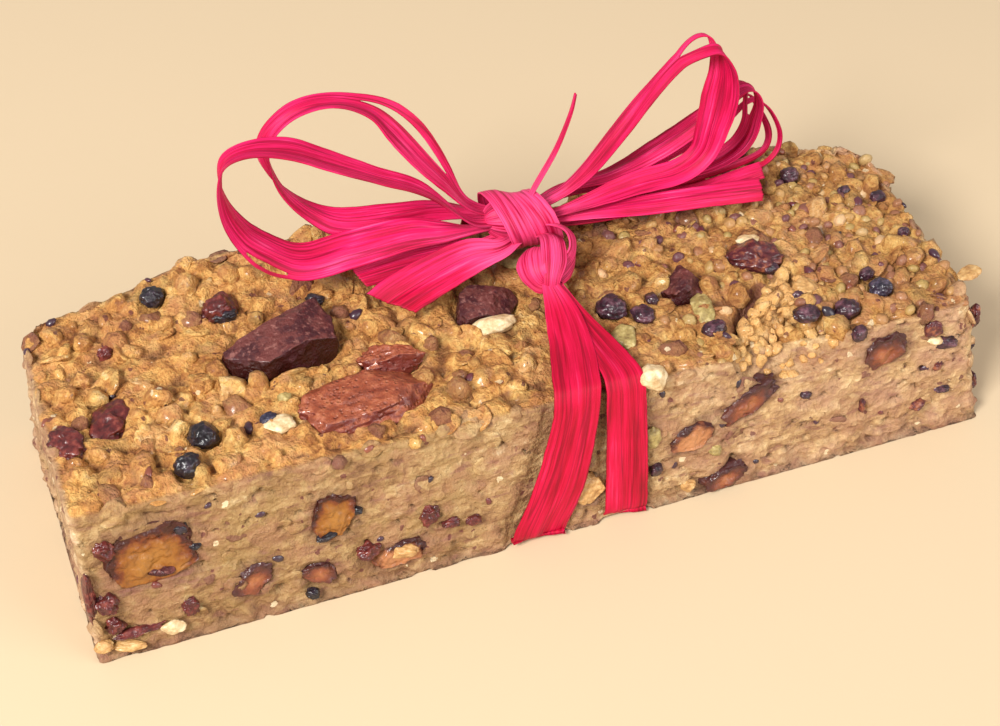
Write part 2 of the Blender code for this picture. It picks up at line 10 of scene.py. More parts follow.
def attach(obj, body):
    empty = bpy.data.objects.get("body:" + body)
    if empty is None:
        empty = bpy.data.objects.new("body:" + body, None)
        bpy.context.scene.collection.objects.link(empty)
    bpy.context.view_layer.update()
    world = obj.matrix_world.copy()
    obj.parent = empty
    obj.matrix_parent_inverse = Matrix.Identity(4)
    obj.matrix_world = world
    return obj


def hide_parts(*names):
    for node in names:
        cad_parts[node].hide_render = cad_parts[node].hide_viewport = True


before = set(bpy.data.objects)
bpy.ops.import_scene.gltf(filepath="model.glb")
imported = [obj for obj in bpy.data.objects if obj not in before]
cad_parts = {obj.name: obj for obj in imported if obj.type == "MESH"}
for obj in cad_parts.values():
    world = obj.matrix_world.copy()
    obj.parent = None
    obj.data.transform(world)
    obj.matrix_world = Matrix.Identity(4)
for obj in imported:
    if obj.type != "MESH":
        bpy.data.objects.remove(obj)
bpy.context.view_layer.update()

# The bar's body: rolled oats and puffed grain pressed with syrup, baked as a slab and cut by hand.
# Its baked top is lumpy and glazed, its cut sides are smeared flat, and its corners are out of true.
MM = 0.001
BAR_SIZE = np.array((114.0, 35.4, 20.6)) * MM
BAR_CELLS = (300, 94, 54)
TOP_EDGE_ROUND = 1.5 * MM
# How far the skin is drawn in before the relief builds it out again, and in under set pieces.
TOP_SINK, SIDE_SINK, PIECE_HOLLOW = 1.0 * MM, 0.25 * MM, 0.9 * MM
# How deep the straps press in under the bar and into its sides, in millimetres.
GROOVE_UNDER, GROOVE_SIDES = 0.75, 0.45
# How far each corner of the block is out of true, in millimetres, by its side along X, Y and Z.
CORNER_SHIFT = {
    (-1, -1, -1): (0.2, -2.8, 0.0),
    (1, -1, -1): (1.4, -2.2, 0.0),
    (1, -1, 1): (-1.9, 0.7, -0.9),
    (-1, -1, 1): (0.2, 1.5, 0.7),
    (-1, 1, 1): (0.4, -0.4, -0.5),
    (1, 1, 1): (0.5, -0.8, -0.5),
    (-1, 1, -1): (-0.5, 1.6, 0.0),
    (1, 1, -1): (0.0, 0.4, 0.0),
}
# The back of the top is fuller in the middle than at its worn corners.
BACK_SWELL, BACK_RISE = 2.2 * MM, 3.0 * MM
TORN_STEP_AT = np.array((30.0, -16.5, 20.0)) * MM
TORN_STEP_REACH = np.array((8.0, 6.5, 6.0)) * MM
TORN_STEP_DEPTH = 2.6 * MM
# How far along X and Y each upright corner is worn round, and the height where chunks lie open.
CORNER_WEAR = {(-1, 1): (8.5, 5.5), (1, 1): (12.5, 9.5), (-1, -1): (1.6, 1.6), (1, -1): (3.0, 2.0)}
OPEN_FOOT = (2.0 * MM, 7.5 * MM)
# A crack in the top, beside which the crust stands up as a torn golden ledge, painted brighter as painted
# light on its lit slope; the crack is painted dark as painted shade.
LEDGE_CRACK = ((22.2, -18.6), (24.6, -12.8), (29.4, -7.2), (31.6, -5.8))
LEDGE_RISE, CRACK_DEPTH = 0.9 * MM, 1.9 * MM
LOWEST_CRUMB = 2.3 * MM

# Pieces set in the baked top: X, Y, how high the middle lies against the surface,
# then length, width, height, turn in degrees and how boxy the piece is.
TOP_PIECES = {
    "chocolate_block": ((-27.9, 2.1, 0.2), (13.6, 8.6, 6.0), 7, 0.75),
    "date_piece": ((-20.7, -9.0, -1.2), (15.6, 7.8, 4.0), 4, 0.60),
    "date_tip": ((-16.4, -4.3, -0.2), (7.4, 3.4, 3.4), -12, 0.20),
    "currant_front": ((-42.6, -13.0, 0.3), (3.9, 3.6, 3.4), 30, 0.0),
    "currant_back": ((-39.9, -9.0, 0.4), (4.2, 3.9, 3.6), -20, 0.0),
    "currant_edge": ((-40.3, 15.0, 0.0), (3.6, 3.2, 3.2), 0, 0.0),
    "cranberry_back": ((-33.0, 10.4, -0.2), (4.6, 3.6, 3.4), 25, 0.15),
    "cranberry_left": ((-49.4, -2.2, -0.9), (7.4, 4.6, 3.2), 70, 0.25),
    "chocolate_under_bow": ((-2.6, 1.6, -0.6), (9.4, 6.4, 4.4), 8, 0.50),
    "currant_by_strap": ((11.9, -4.0, 0.2), (4.6, 4.2, 3.4), 0, 0.0),
    "chocolate_chip_right": ((22.0, -3.2, 0.0), (5.6, 4.8, 4.0), 35, 0.55),
    "cranberry_right": ((32.3, -0.8, -0.2), (7.0, 5.0, 3.8), -25, 0.30),
    "currant_far_right": ((43.8, 11.4, 0.3), (2.9, 2.7, 2.7), 0, 0.0),
    "currant_right_front": ((39.4, -13.2, -0.1), (3.8, 3.4, 3.0), 0, 0.0),
    "berry_blue": ((44.9, -11.4, 0.1), (3.4, 3.2, 3.0), 0, 0.0),
}
# Pieces that the knife cut through: X and Z on the front face, length, depth, height,
# turn in degrees and how boxy the piece is.
FRONT_PIECES = {
    "caramel_left": ((-48.7, 12.8), (9.6, 7.0, 8.2), 8, 0.55),
    "caramel_middle": ((-27.7, 11.7), (6.0, 5.0, 5.2), 80, 0.55),
    "cranberry_low_left": ((-37.9, 5.9), (5.4, 4.0, 3.8), 40, 0.20),
    "cranberry_low_middle": ((-30.3, 4.2), (4.6, 3.6, 3.2), -15, 0.20),
    "date_low": ((-20.6, 3.9), (6.4, 4.4, 3.4), 10, 0.40),
    "nut_between_straps": ((3.4, 5.4), (4.0, 4.6, 4.4), 60, 0.30),
    "date_by_strap": ((17.1, 9.2), (6.2, 4.2, 4.0), 30, 0.30),
    "cranberry_slanted": ((24.5, 12.4), (8.2, 4.4, 3.4), 32, 0.25),
    "cranberry_right_end": ((43.3, 14.7), (6.2, 4.4, 4.6), 20, 0.25),
    "date_at_foot": ((21.8, 1.8), (6.4, 4.0, 3.0), 12, 0.30),
}


def smooth(low, high, value):
    """Rise softly from 0 at low to 1 at high."""
    share = np.clip((value - low) / (high - low), 0.0, 1.0)
    return share * share * (3 - 2 * share)


def back_fullness(x):
    """Return how full the back is along the bar in millimetres; the ribbon gives it a waist."""
    left = smooth(-56.0, -30.0, x) * (1 - smooth(-9.0, 0.0, x))
    right = smooth(11.0, 20.0, x) * (1 - smooth(42.0, 51.0, x))
    return left + 0.6 * right


def corner_shift(u, v, w):
    """Blend the eight corner shifts at places given from -1 to 1 along each axis, and swell the back."""
    total = np.zeros(np.shape(u) + (3,))
    for (x, y, z), shift in CORNER_SHIFT.items():
        share = (1 + x * u) * (1 + y * v) * (1 + z * w) / 8
        total += share[..., None] * np.array(shift) * MM
    full = back_fullness(u * BAR_SIZE[0] / 2 / MM) * np.clip((v + 0.15) / 1.15, 0, 1) ** 2
    total[..., 1] += full * BACK_SWELL * (0.7 + 0.3 * w)
    total[..., 2] += full * BACK_RISE * (w + 1) / 2
    return total


def bar_place(u, v, w):
    """Put places of a cube's skin on the uneven bar's outline, before its relief."""
    half = BAR_SIZE / 2
    place = np.stack((u, v, w), axis=-1) * half
    rounding = (TOP_EDGE_ROUND * (0.35 + 0.65 * (w + 1) / 2))[..., None]
    inside = np.clip(place, rounding - half, half - rounding)
    inside[..., 2] = np.where(w < -0.999, place[..., 2], inside[..., 2])
    beyond = place - inside
    length = np.maximum(np.linalg.norm(beyond, axis=-1, keepdims=True), 1e-9)
    place = np.where(length > rounding, inside + beyond / length * rounding, place)
    for (x_end, y_end), reach in CORNER_WEAR.items():
        reach = np.array(reach) * MM * (0.3 + 0.7 * (w[..., None] + 1) / 2)
        over = (place[..., :2] * (x_end, y_end) - half[:2]) / reach + 1
        length = np.maximum(np.linalg.norm(over, axis=-1, keepdims=True), 1e-9)
        worn = (over > 0).all(-1, keepdims=True) & (length > 1)
        place[..., :2] -= np.where(worn, over * (1 - 1 / length) * reach * (x_end, y_end), 0.0)
    place += corner_shift(u, v, w)
    place[..., 2] += half[2]
    return place


def cube_skin(counts):
    """Return the grid keys and the outward quads of a cube's skin."""
    quads = []
    for axis in range(3):
        first, second = (axis + 1) % 3, (axis + 2) % 3
        i, j = np.meshgrid(np.arange(counts[first]), np.arange(counts[second]), indexing="ij")
        for end in (0, counts[axis]):
            steps = ((0, 0), (1, 0), (1, 1), (0, 1))
            if end == 0:
                steps = steps[::-1]
            quad = np.zeros((i.size, 4, 3), int)
            for corner, (step_i, step_j) in enumerate(steps):
                quad[:, corner, axis] = end
                quad[:, corner, first] = (i + step_i).ravel()
                quad[:, corner, second] = (j + step_j).ravel()
            quads.append(quad)
    keys, index = np.unique(np.concatenate(quads).reshape(-1, 3), axis=0, return_inverse=True)
    return keys, index.reshape(-1, 4)


def top_height(x, y):
    """Return the height of the bar's top outline over a place."""
    u, v = np.float64(2 * x / BAR_SIZE[0]), np.float64(2 * y / BAR_SIZE[1])
    return BAR_SIZE[2] + corner_shift(u, v, np.float64(1.0))[2]


def front_depth(x, z):
    """Return Y of the cut front face at a place."""
    u, w = np.float64(2 * x / BAR_SIZE[0]), np.float64(2 * z / BAR_SIZE[2] - 1)
    return -BAR_SIZE[1] / 2 + corner_shift(u, np.float64(-1.0), w)[1]


def right_end(y, z):
    """Return X of the right end face at a place."""
    v, w = np.float64(2 * y / BAR_SIZE[1]), np.float64(2 * z / BAR_SIZE[2] - 1)
    return BAR_SIZE[0] / 2 + corner_shift(np.float64(1.0), v, w)[0]


def plan_distance(across, up, size, turn, boxy):
    """Return how far places lie from a piece's middle, where 1 is its rim."""
    cos, sin = math.cos(math.radians(turn)), math.sin(math.radians(turn))
    along = (across * cos + up * sin) / (size[0] * MM / 2)
    upward = (up * cos - across * sin) / (size[1] * MM / 2)
    power = 2 + 4 * boxy
    return (np.abs(along) ** power + np.abs(upward) ** power) ** (1 / power)


def strap_distance(place, route):
    """Return how far places lie outside the edge of a strap that runs along a route."""
    nearest = np.full(len(place), 1.0)
    for start, stop in zip(route, route[1:]):
        a, b = np.array(start[:3]) * MM, np.array(stop[:3]) * MM
        share = np.clip((place - a) @ (b - a) / ((b - a) @ (b - a)), 0, 1)
        half = (start[3] + (stop[3] - start[3]) * share) * MM / 2
        away = np.linalg.norm(place - a - share[:, None] * (b - a), axis=1)
        nearest = np.minimum(nearest, away - half)
    return nearest


def crack_distance(place):
    """Return how far places lie from the crack, below zero on its left."""
    nearest = np.full(len(place), 1.0)
    side = np.ones(len(place))
    for start, stop in zip(LEDGE_CRACK, LEDGE_CRACK[1:]):
        a, b = np.array(start) * MM, np.array(stop) * MM
        share = np.clip((place[:, :2] - a) @ (b - a) / ((b - a) @ (b - a)), 0, 1)
        off = place[:, :2] - a - share[:, None] * (b - a)
        gap = np.linalg.norm(off, axis=1)
        turned = (b - a)[0] * off[:, 1] - (b - a)[1] * off[:, 0]
        side = np.where(gap < nearest, np.where(turned > 0, -1.0, 1.0), side)
        nearest = np.minimum(nearest, gap)
    return nearest * side


# Each strap runs from the lower knot over the front, under the bar and up the back.
# Rows of a route are X, Y, Z and width in millimetres, then the roll in degrees.
STRAPS = {
    "ribbon_strap_left": (
        (4.7, -0.9, 23.4, 1.8, 0), (4.9, -4.6, 22.0, 4.0, 0), (3.9, -10.2, 21.6, 5.1, 0),
        (2.4, -15.5, 21.5, 5.6, 0), (1.8, -17.4, 20.5, 5.7, 0), (1.4, -18.2, 17.5, 5.8, 0),
        (-0.6, -19.5, 9.0, 6.4, 0), (-3.0, -19.9, 2.2, 6.9, 0), (-3.3, -19.5, 0.9, 6.8, 0),
        (-3.1, -19.0, 0.70, 6.6, 0), (-1.6, -9.0, 0.70, 6.0, 0), (0.4, 9.0, 0.70, 5.4, 0),
        (1.4, 17.6, 0.70, 5.2, 0), (1.5, 18.8, 0.9, 5.2, 0), (1.6, 19.2, 2.2, 5.2, 0),
        (1.9, 18.5, 10.0, 5.0, 0), (2.4, 17.7, 18.5, 4.4, 0), (2.6, 17.0, 20.9, 4.0, 0),
        (3.0, 15.8, 21.9, 3.4, 0), (3.9, 14.3, 22.6, 2.4, 0)),
    "ribbon_strap_right": (
        (5.6, -0.9, 22.8, 1.6, 0), (6.4, -5.0, 21.8, 2.5, 0), (7.3, -10.8, 21.3, 4.2, 0),
        (7.9, -15.4, 21.2, 4.7, 0), (7.9, -17.2, 20.4, 4.9, 0), (7.9, -18.1, 17.5, 5.0, 0),
        (8.0, -19.4, 9.0, 5.2, 0), (8.2, -19.8, 2.2, 5.4, 0), (8.2, -19.4, 0.9, 5.4, 0),
        (8.3, -18.9, 0.70, 5.4, 0), (9.3, -9.0, 0.70, 5.0, 0), (9.0, 9.0, 0.70, 4.8, 0),
        (8.7, 17.5, 0.70, 4.6, 0), (8.6, 18.7, 0.9, 4.6, 0), (8.5, 19.1, 2.2, 4.6, 0),
        (8.2, 18.4, 10.0, 4.4, 0), (7.9, 17.6, 18.5, 3.8, 0), (7.7, 16.9, 20.9, 3.4, 0),
        (7.4, 15.7, 21.9, 2.8, 0), (7.0, 14.3, 22.6, 2.2, 0)),
}


class Field:
    """A node's output, so that node maths can be written as an expression."""

    def __init__(self, graph, socket):
        self.graph = graph
        self.socket = socket

    def __add__(self, other):
        return self.graph.maths("ADD", self, other)

    def __sub__(self, other):
        return self.graph.maths("SUBTRACT", self, other)

    def __rsub__(self, other):
        return self.graph.maths("SUBTRACT", other, self)

    def __mul__(self, other):
        return self.graph.maths("MULTIPLY", self, other)

    def __truediv__(self, other):
        return self.graph.maths("DIVIDE", self, other)

    def __rtruediv__(self, other):
        return self.graph.maths("DIVIDE", other, self)

    def __gt__(self, other):
        return self.graph.maths("GREATER_THAN", self, other)

    def __lt__(self, other):
        return self.graph.maths("LESS_THAN", self, other)

    def __abs__(self):
        return self.graph.maths("ABSOLUTE", self)

    __radd__ = __add__
    __rmul__ = __mul__

    def other(self, name):
        """Return another output of the same node."""
        return Field(self.graph, self.socket.node.outputs[name])


class Graph:
    """A node tree with the few kinds of node that this object's looks are made of."""

    def __init__(self, tree):
        self.tree = tree

    def node(self, kind, settings=None, sockets=None, out=0):
        """Add a node: its settings first, then the values or links of its sockets."""
        made = self.tree.nodes.new(kind)
        for name, value in (settings or {}).items():
            if name == "stops":
                self.fill_ramp(made.color_ramp, value)
            else:
                setattr(made, name, value)
        shown = [socket for socket in made.inputs if socket.enabled]
        for key, value in (sockets or {}).items():
            socket = shown[key] if isinstance(key, int) else next(s for s in shown if s.name == key)
            if isinstance(value, Field):
                self.tree.links.new(value.socket, socket)
            else:
                socket.default_value = value
        outputs = [socket for socket in made.outputs if socket.enabled]
        return Field(self, outputs[out]) if outputs else made

    def fill_ramp(self, ramp, stops):
        while len(ramp.elements) < len(stops):
            ramp.elements.new(0.5)
        for element, (position, colour) in zip(ramp.elements, stops):
            element.position = position
            element.color = (*colour, 1.0)

    def maths(self, operation, *values):
        return self.node("ShaderNodeMath", {"operation": operation}, dict(enumerate(values)))

    def ramp(self, value, stops):
        """Turn a number into a colour by stops of position and colour."""
        return self.node("ShaderNodeValToRGB", {"stops": stops}, {"Fac": value})

    def vector(self, operation, *values):
        return self.node("ShaderNodeVectorMath", {"operation": operation}, dict(enumerate(values)))

    def scaled(self, vector, factor):
        return self.node("ShaderNodeVectorMath", {"operation": "SCALE"},
                         {"Vector": vector, "Scale": factor})

    def xyz(self, x, y, z):
        return self.node("ShaderNodeCombineXYZ", {}, {"X": x, "Y": y, "Z": z})

    def parts(self, vector):
        """Split a vector: the result is its X, and its other outputs are Y and Z."""
        return self.node("ShaderNodeSeparateXYZ", {}, {"Vector": vector})

    def rise(self, value, low, high):
        """Rise softly from 0 at low to 1 at high."""
        return self.node("ShaderNodeMapRange", {"interpolation_type": "SMOOTHSTEP"},
                         {"Value": value, "From Min": low, "From Max": high})

    def mix(self, factor, first, second):
        """Mix two colours."""
        return self.node("ShaderNodeMix", {"data_type": "RGBA"},
                         {"Factor": factor, "A": first, "B": second})

    def noise(self, vector, size, detail=2.0, roughness=0.5):
        """Return soft noise from 0 to 1 whose lumps are about size wide."""
        return self.node("ShaderNodeTexNoise", {},
                         {"Vector": vector, "Scale": 1 / size, "Detail": detail, "Roughness": roughness})

    def cells(self, vector, size):
        """Return the distance to the middle of cells that are about size wide."""
        return self.node("ShaderNodeTexVoronoi", {}, {"Vector": vector, "Scale": 1 / size})

    def bent(self, place, size, shift):
        """Push places about by up to shift, in waves about size wide."""
        return self.vector("ADD", place, self.scaled(self.noise(place, size).other("Color"), shift))


def geometry_graph(name, inputs):
    """Start a geometry tree with named inputs; return its graph and its input fields."""
    tree = bpy.data.node_groups.new(name, "GeometryNodeTree")
    tree.interface.new_socket("Geometry", in_out="INPUT", socket_type="NodeSocketGeometry")
    for label, (kind, value) in inputs.items():
        socket = tree.interface.new_socket(label, in_out="INPUT", socket_type="NodeSocket" + kind)
        if value is not None:
            socket.default_value = value
    tree.interface.new_socket("Geometry", in_out="OUTPUT", socket_type="NodeSocketGeometry")
    graph = Graph(tree)
    entry = tree.nodes.new("NodeGroupInput")
    return graph, {socket.name: Field(graph, socket) for socket in entry.outputs if socket.name}


def end_geometry(graph, geometry, material):
    """End a geometry tree with real geometry that has its material."""
    solid = graph.node("GeometryNodeRealizeInstances", {}, {"Geometry": geometry})
    dressed = graph.node("GeometryNodeSetMaterial", {}, {"Geometry": solid, "Material": material})
    graph.node("NodeGroupOutput", {}, {"Geometry": dressed})


def named(graph, name, kind="FLOAT"):
    """Read a mark that the geometry carries."""
    return graph.node("GeometryNodeInputNamedAttribute", {"data_type": kind}, {"Name": name})


def stored(graph, geometry, name, value, kind="FLOAT", domain="POINT"):
    """Write a mark on the geometry."""
    return graph.node("GeometryNodeStoreNamedAttribute", {"data_type": kind, "domain": domain},
                      {"Geometry": geometry, "Name": name, "Value": value})


def plain_object(name, mesh):
    obj = bpy.data.objects.new(name, mesh)
    bpy.context.scene.collection.objects.link(obj)
    return obj


def grown(name, base, tree, values, shell=0.0):
    """Run a tree on a base object, thicken it if asked, and return the result as a plain mesh."""
    step = base.modifiers.new(name, "NODES")
    step.node_group = tree
    for item in tree.interface.items_tree:
        if item.in_out == "INPUT" and item.name in values:
            step[item.identifier] = values[item.name]
    if shell:
        wall = base.modifiers.new("wall", "SOLIDIFY")
        wall.thickness = shell
        wall.offset = 0.0
    graph = bpy.context.evaluated_depsgraph_get()
    mesh = bpy.data.meshes.new_from_object(base.evaluated_get(graph), preserve_all_data_layers=True,
                                           depsgraph=graph)
    base.modifiers.clear()
    mesh.shade_smooth()
    return plain_object(name, mesh)


def new_material(name):
    """Return a material with an empty graph and its object coordinates."""
    material = bpy.data.materials.new(name)
    material.use_nodes = True
    material.node_tree.nodes.clear()
    graph = Graph(material.node_tree)
    place = graph.node("ShaderNodeTexCoord", {}, {}, out=3)
    return material, graph, place


def surface(graph, fixed, **varied):
    """Close a material with one shader, from fixed numbers and fields that vary."""
    sockets = dict(fixed)
    for name, value in varied.items():
        sockets[name.replace("_", " ")] = value
    shader = graph.node("ShaderNodeBsdfPrincipled", {}, sockets)
    graph.node("ShaderNodeOutputMaterial", {}, {"Surface": shader})


def bumped(graph, height, distance, strength=1.0):
    """Return normals that follow a fine relief of the given depth."""
    return graph.node("ShaderNodeBump", {},
                      {"Height": height, "Distance": distance, "Strength": strength})


def attribute(graph, name, out=2):
    """Read a mark that the mesh carries, as a number unless another output is asked for."""
    return graph.node("ShaderNodeAttribute", {"attribute_name": name}, {}, out)


def crumb_material():
    """Baked oats and puffed grain: pale flakes and tan crumb, golden brown where it was baked, with
    painted shade in crevices, crack and foot, and painted light along the bar, on its left end and torn
    ledge.
    """
    material, graph, place = new_material("granola crumb")
    top = attribute(graph, "baked")
    height = attribute(graph, "relief")
    tone = attribute(graph, "tone")
    bent = graph.bent(place, 1.5 * MM, 1.3 * MM)
    cluster = graph.cells(bent, 2.8 * MM)
    grain = graph.cells(bent, 1.1 * MM)
    kind = graph.vector("DOT_PRODUCT", cluster.other("Color"), (0.8, 0.2, 0.0))
    fleck = graph.vector("DOT_PRODUCT", grain.other("Color"), (0.0, 0.7, 0.3))
    patch = graph.noise(place, 9 * MM, 3.0)
    fine = graph.noise(place, 0.8 * MM, 5.0, 0.72)
    smear = graph.noise(graph.vector("MULTIPLY", place, (0.28, 0.5, 1.3)), 1.5 * MM, 4.0, 0.62)
    shade = 0.26 * kind + 0.24 * fleck + 0.22 * tone + 0.95 * fine + 0.42 * patch - 0.555
    pressed = graph.ramp(shade + 0.9 * (smear - 0.5), [
        (0.0, (0.14, 0.060, 0.030)), (0.24, (0.27, 0.142, 0.072)), (0.48, (0.405, 0.240, 0.116)),
        (0.74, (0.56, 0.385, 0.205)), (1.0, (0.80, 0.68, 0.46))])
    baked = graph.ramp(shade, [
        (0.0, (0.080, 0.021, 0.006)), (0.22, (0.235, 0.080, 0.018)), (0.46, (0.475, 0.218, 0.056)),
        (0.70, (0.680, 0.410, 0.125)), (1.0, (0.88, 0.70, 0.38))])
    x = graph.parts(place)
    blotch = graph.rise(graph.noise(place, 5.5 * MM, 3.0), 0.46, 0.64)
    along = graph.rise(x, -35 * MM, 45 * MM)
    pressed = graph.mix(blotch * 0.55, pressed,
                        graph.mix(along, (0.37, 0.235, 0.095, 1), (0.40, 0.225, 0.150, 1)))
    # The sides are painted lighter towards the right end, and the left end face paler still: painted
    # light from the lamps.
    lit = graph.mix(along, (0.83, 0.79, 0.65, 1), (1.26, 1.29, 1.24, 1))
    lit_left_end = graph.rise(x, -55.4 * MM, -56.8 * MM)
    pressed = graph.vector("MULTIPLY", pressed, graph.mix(lit_left_end, lit, (1.20, 1.26, 1.42, 1)))
    # Darker towards the bottom edge: painted shade where the bar meets the floor.
    low = graph.rise(x.other("Z") + (smear - 0.5) * 2 * MM, 1.8 * MM, 0.2 * MM)
    pressed = graph.mix(low * 0.5, pressed, (0.19, 0.080, 0.052, 1))
    # A darker ring round each piece that the knife cut through on the front.
    stain = attribute(graph, "stain") * graph.rise(smear, 0.30, 0.62)
    pressed = graph.mix(stain * 0.75, pressed, (0.175, 0.075, 0.045, 1))
    olive = graph.rise(graph.noise(bent, 4.0 * MM, 3.0), 0.54, 0.68)
    baked = graph.mix(olive * 0.45, baked, (0.30, 0.205, 0.070, 1))
    # The baked top is painted brighter towards the left end: painted light.
    baked = graph.vector("MULTIPLY", baked, graph.mix(along, (1.17, 1.16, 1.16, 1), (1.0, 1.0, 1.0, 1)))
    colour = graph.mix(top, pressed, baked)
    warm = graph.rise(graph.noise(place, 4.5 * MM, 3.0, 0.6), 0.46, 0.62)
    colour = graph.mix(warm * 0.45, colour,
                       graph.mix(top, (0.33, 0.145, 0.085, 1), (0.46, 0.185, 0.085, 1)))
    drawn_out = graph.vector("MULTIPLY", place, (0.4, 0.6, 1.2))
    streak = graph.rise(graph.noise(drawn_out, 1.3 * MM, 3.0), 0.57, 0.70)
    colour = graph.mix(streak * (0.55 - 0.40 * top), colour, (0.215, 0.080, 0.062, 1))
    # Low tone turns mauve-brown: the darker grains' own colour, and painted shade in the crack, whose
    # tone is lowered.
    mauve = graph.rise(tone, 0.20, 0.06)
    colour = graph.mix(mauve * 0.6, colour, (0.17, 0.055, 0.045, 1))
    # High tone, on the torn ledge and its crumbs, turns bright golden: painted light on the slope that
    # faces the lamp.
    colour = graph.mix(graph.rise(tone, 1.05, 1.5) * 0.70, colour, (0.82, 0.455, 0.160, 1))
    # Low places of the relief are painted darker: painted shade in the crevices, and on top partly also
    # the darker syrup that pools there.
    deep = graph.rise(height, -0.05, -0.55)
    colour = graph.mix(deep * (0.20 + 0.50 * top), colour, (0.14, 0.045, 0.014, 1))
    dots = graph.cells(graph.bent(place, 0.8 * MM, 0.9 * MM), 1.6 * MM)
    chosen = graph.vector("DOT_PRODUCT", dots.other("Color"), (0.0, 0.0, 1.0))
    speck = (dots < 0.20) * (chosen > 0.80)
    colour = graph.mix(speck * 0.8, colour, (0.13, 0.028, 0.026, 1))
    husk = (dots < 0.26) * (chosen < 0.07 - 0.03 * top)
    colour = graph.mix(husk * 0.7, colour, (0.80, 0.66, 0.42, 1))
    syrup = graph.rise(graph.noise(place, 2.2 * MM, 3.0), 0.50, 0.66)
    gloss = top * syrup * 0.65 + 0.03
    rough = 0.70 - 0.22 * top * syrup - 0.12 * fine
    gritty = graph.noise(place, 0.35 * MM, 2.0) * (0.4 + 0.5 * top)
    lumps = fine * (0.75 + 0.55 * top) + 0.7 * grain - gritty + 0.6 * smear * (1 - top)
    surface(graph, {"Coat Roughness": 0.16, "Specular IOR Level": 0.40},
            Base_Color=colour, Roughness=rough, Coat_Weight=gloss,
            Normal=bumped(graph, lumps, 0.55 * MM, 0.85))
    return material


def relief_tree():
    """Raise lumps on the baked top, and press smears, plates and pits into the cut sides."""
    graph, given = geometry_graph("crumb relief", {
        "Lump": ("Float", 4.4 * MM),
        "Lump Height": ("Float", 1.25 * MM),
        "Plate": ("Float", 3.0 * MM),
        "Plate Height": ("Float", 0.55 * MM),
        "Pit Depth": ("Float", 1.0 * MM),
        "Material": ("Material", None),
    })
    place = graph.node("GeometryNodeInputPosition")
    top = named(graph, "baked")
    free = named(graph, "free")
    torn = named(graph, "torn")
    foot = named(graph, "foot")
    bent = graph.bent(place, 3 * MM, 1.4 * MM)
    big = graph.cells(bent, given["Lump"])
    small = graph.cells(bent, 2.1 * MM)
    bead = graph.cells(place, 1.15 * MM)
    tall = graph.vector("DOT_PRODUCT", big.other("Color"), (0.7, 0.3, 0.0))
    low = graph.vector("DOT_PRODUCT", small.other("Color"), (0.5, 0.5, 0.0))
    gritty = graph.noise(place, 1.0 * MM, 3.0, 0.6) - 0.5
    rough = (0.50 - big * big * 1.2) * (0.45 + tall) + (0.42 - small * small * 1.3) * (0.3 + low)
    rough = rough + gritty * 0.8
    lumps = rough * given["Lump Height"] - bead * bead * 0.40 * MM
    wide = graph.vector("MULTIPLY", bent, (0.62, 0.62, 1.25))
    plate = graph.cells(wide, given["Plate"])
    level = graph.vector("DOT_PRODUCT", plate.other("Color"), (0.4, 0.6, 0.0))
    smear = graph.noise(graph.vector("MULTIPLY", place, (0.3, 1.0, 1.6)), 1.6 * MM, 3.0)
    holes = graph.rise(graph.noise(wide, 1.5 * MM, 2.0, 0.6), 0.60, 0.72)
    flat = level - 0.5 + 1.3 * (smear - 0.5) + 0.45 * gritty
    pressed = flat * given["Plate Height"] - holes * given["Pit Depth"]
    crumbs = (0.5 - small * 1.3) * 1.2 * MM + (0.3 - bead) * 0.5 * MM
    swell = (graph.noise(place, 4.5 * MM, 3.0, 0.6) - 0.5) * 2.6 * MM
    height = lumps * top + pressed * (1 - top) + crumbs * (torn + 0.7 * foot) + swell * foot
    height = height * (0.25 + 0.75 * free)
    under = named(graph, "under")
    height = height * (1 - under) - under * abs(pressed) * 0.6
    out_of = named(graph, "outward", "FLOAT_VECTOR")
    moved = graph.vector("ADD", place, graph.scaled(out_of, height))
    parts = graph.parts(moved)
    above = graph.maths("MAXIMUM", parts.other("Z"), 0.0)
    settled = graph.node("GeometryNodeSetPosition", {}, {
        "Geometry": given["Geometry"], "Position": graph.xyz(parts, parts.other("Y"), above)})
    # The relief height is kept for the crumb's painted crevice shade.
    noted = stored(graph, settled, "relief", height / MM)
    end_geometry(graph, noted, given["Material"])
    return graph.tree


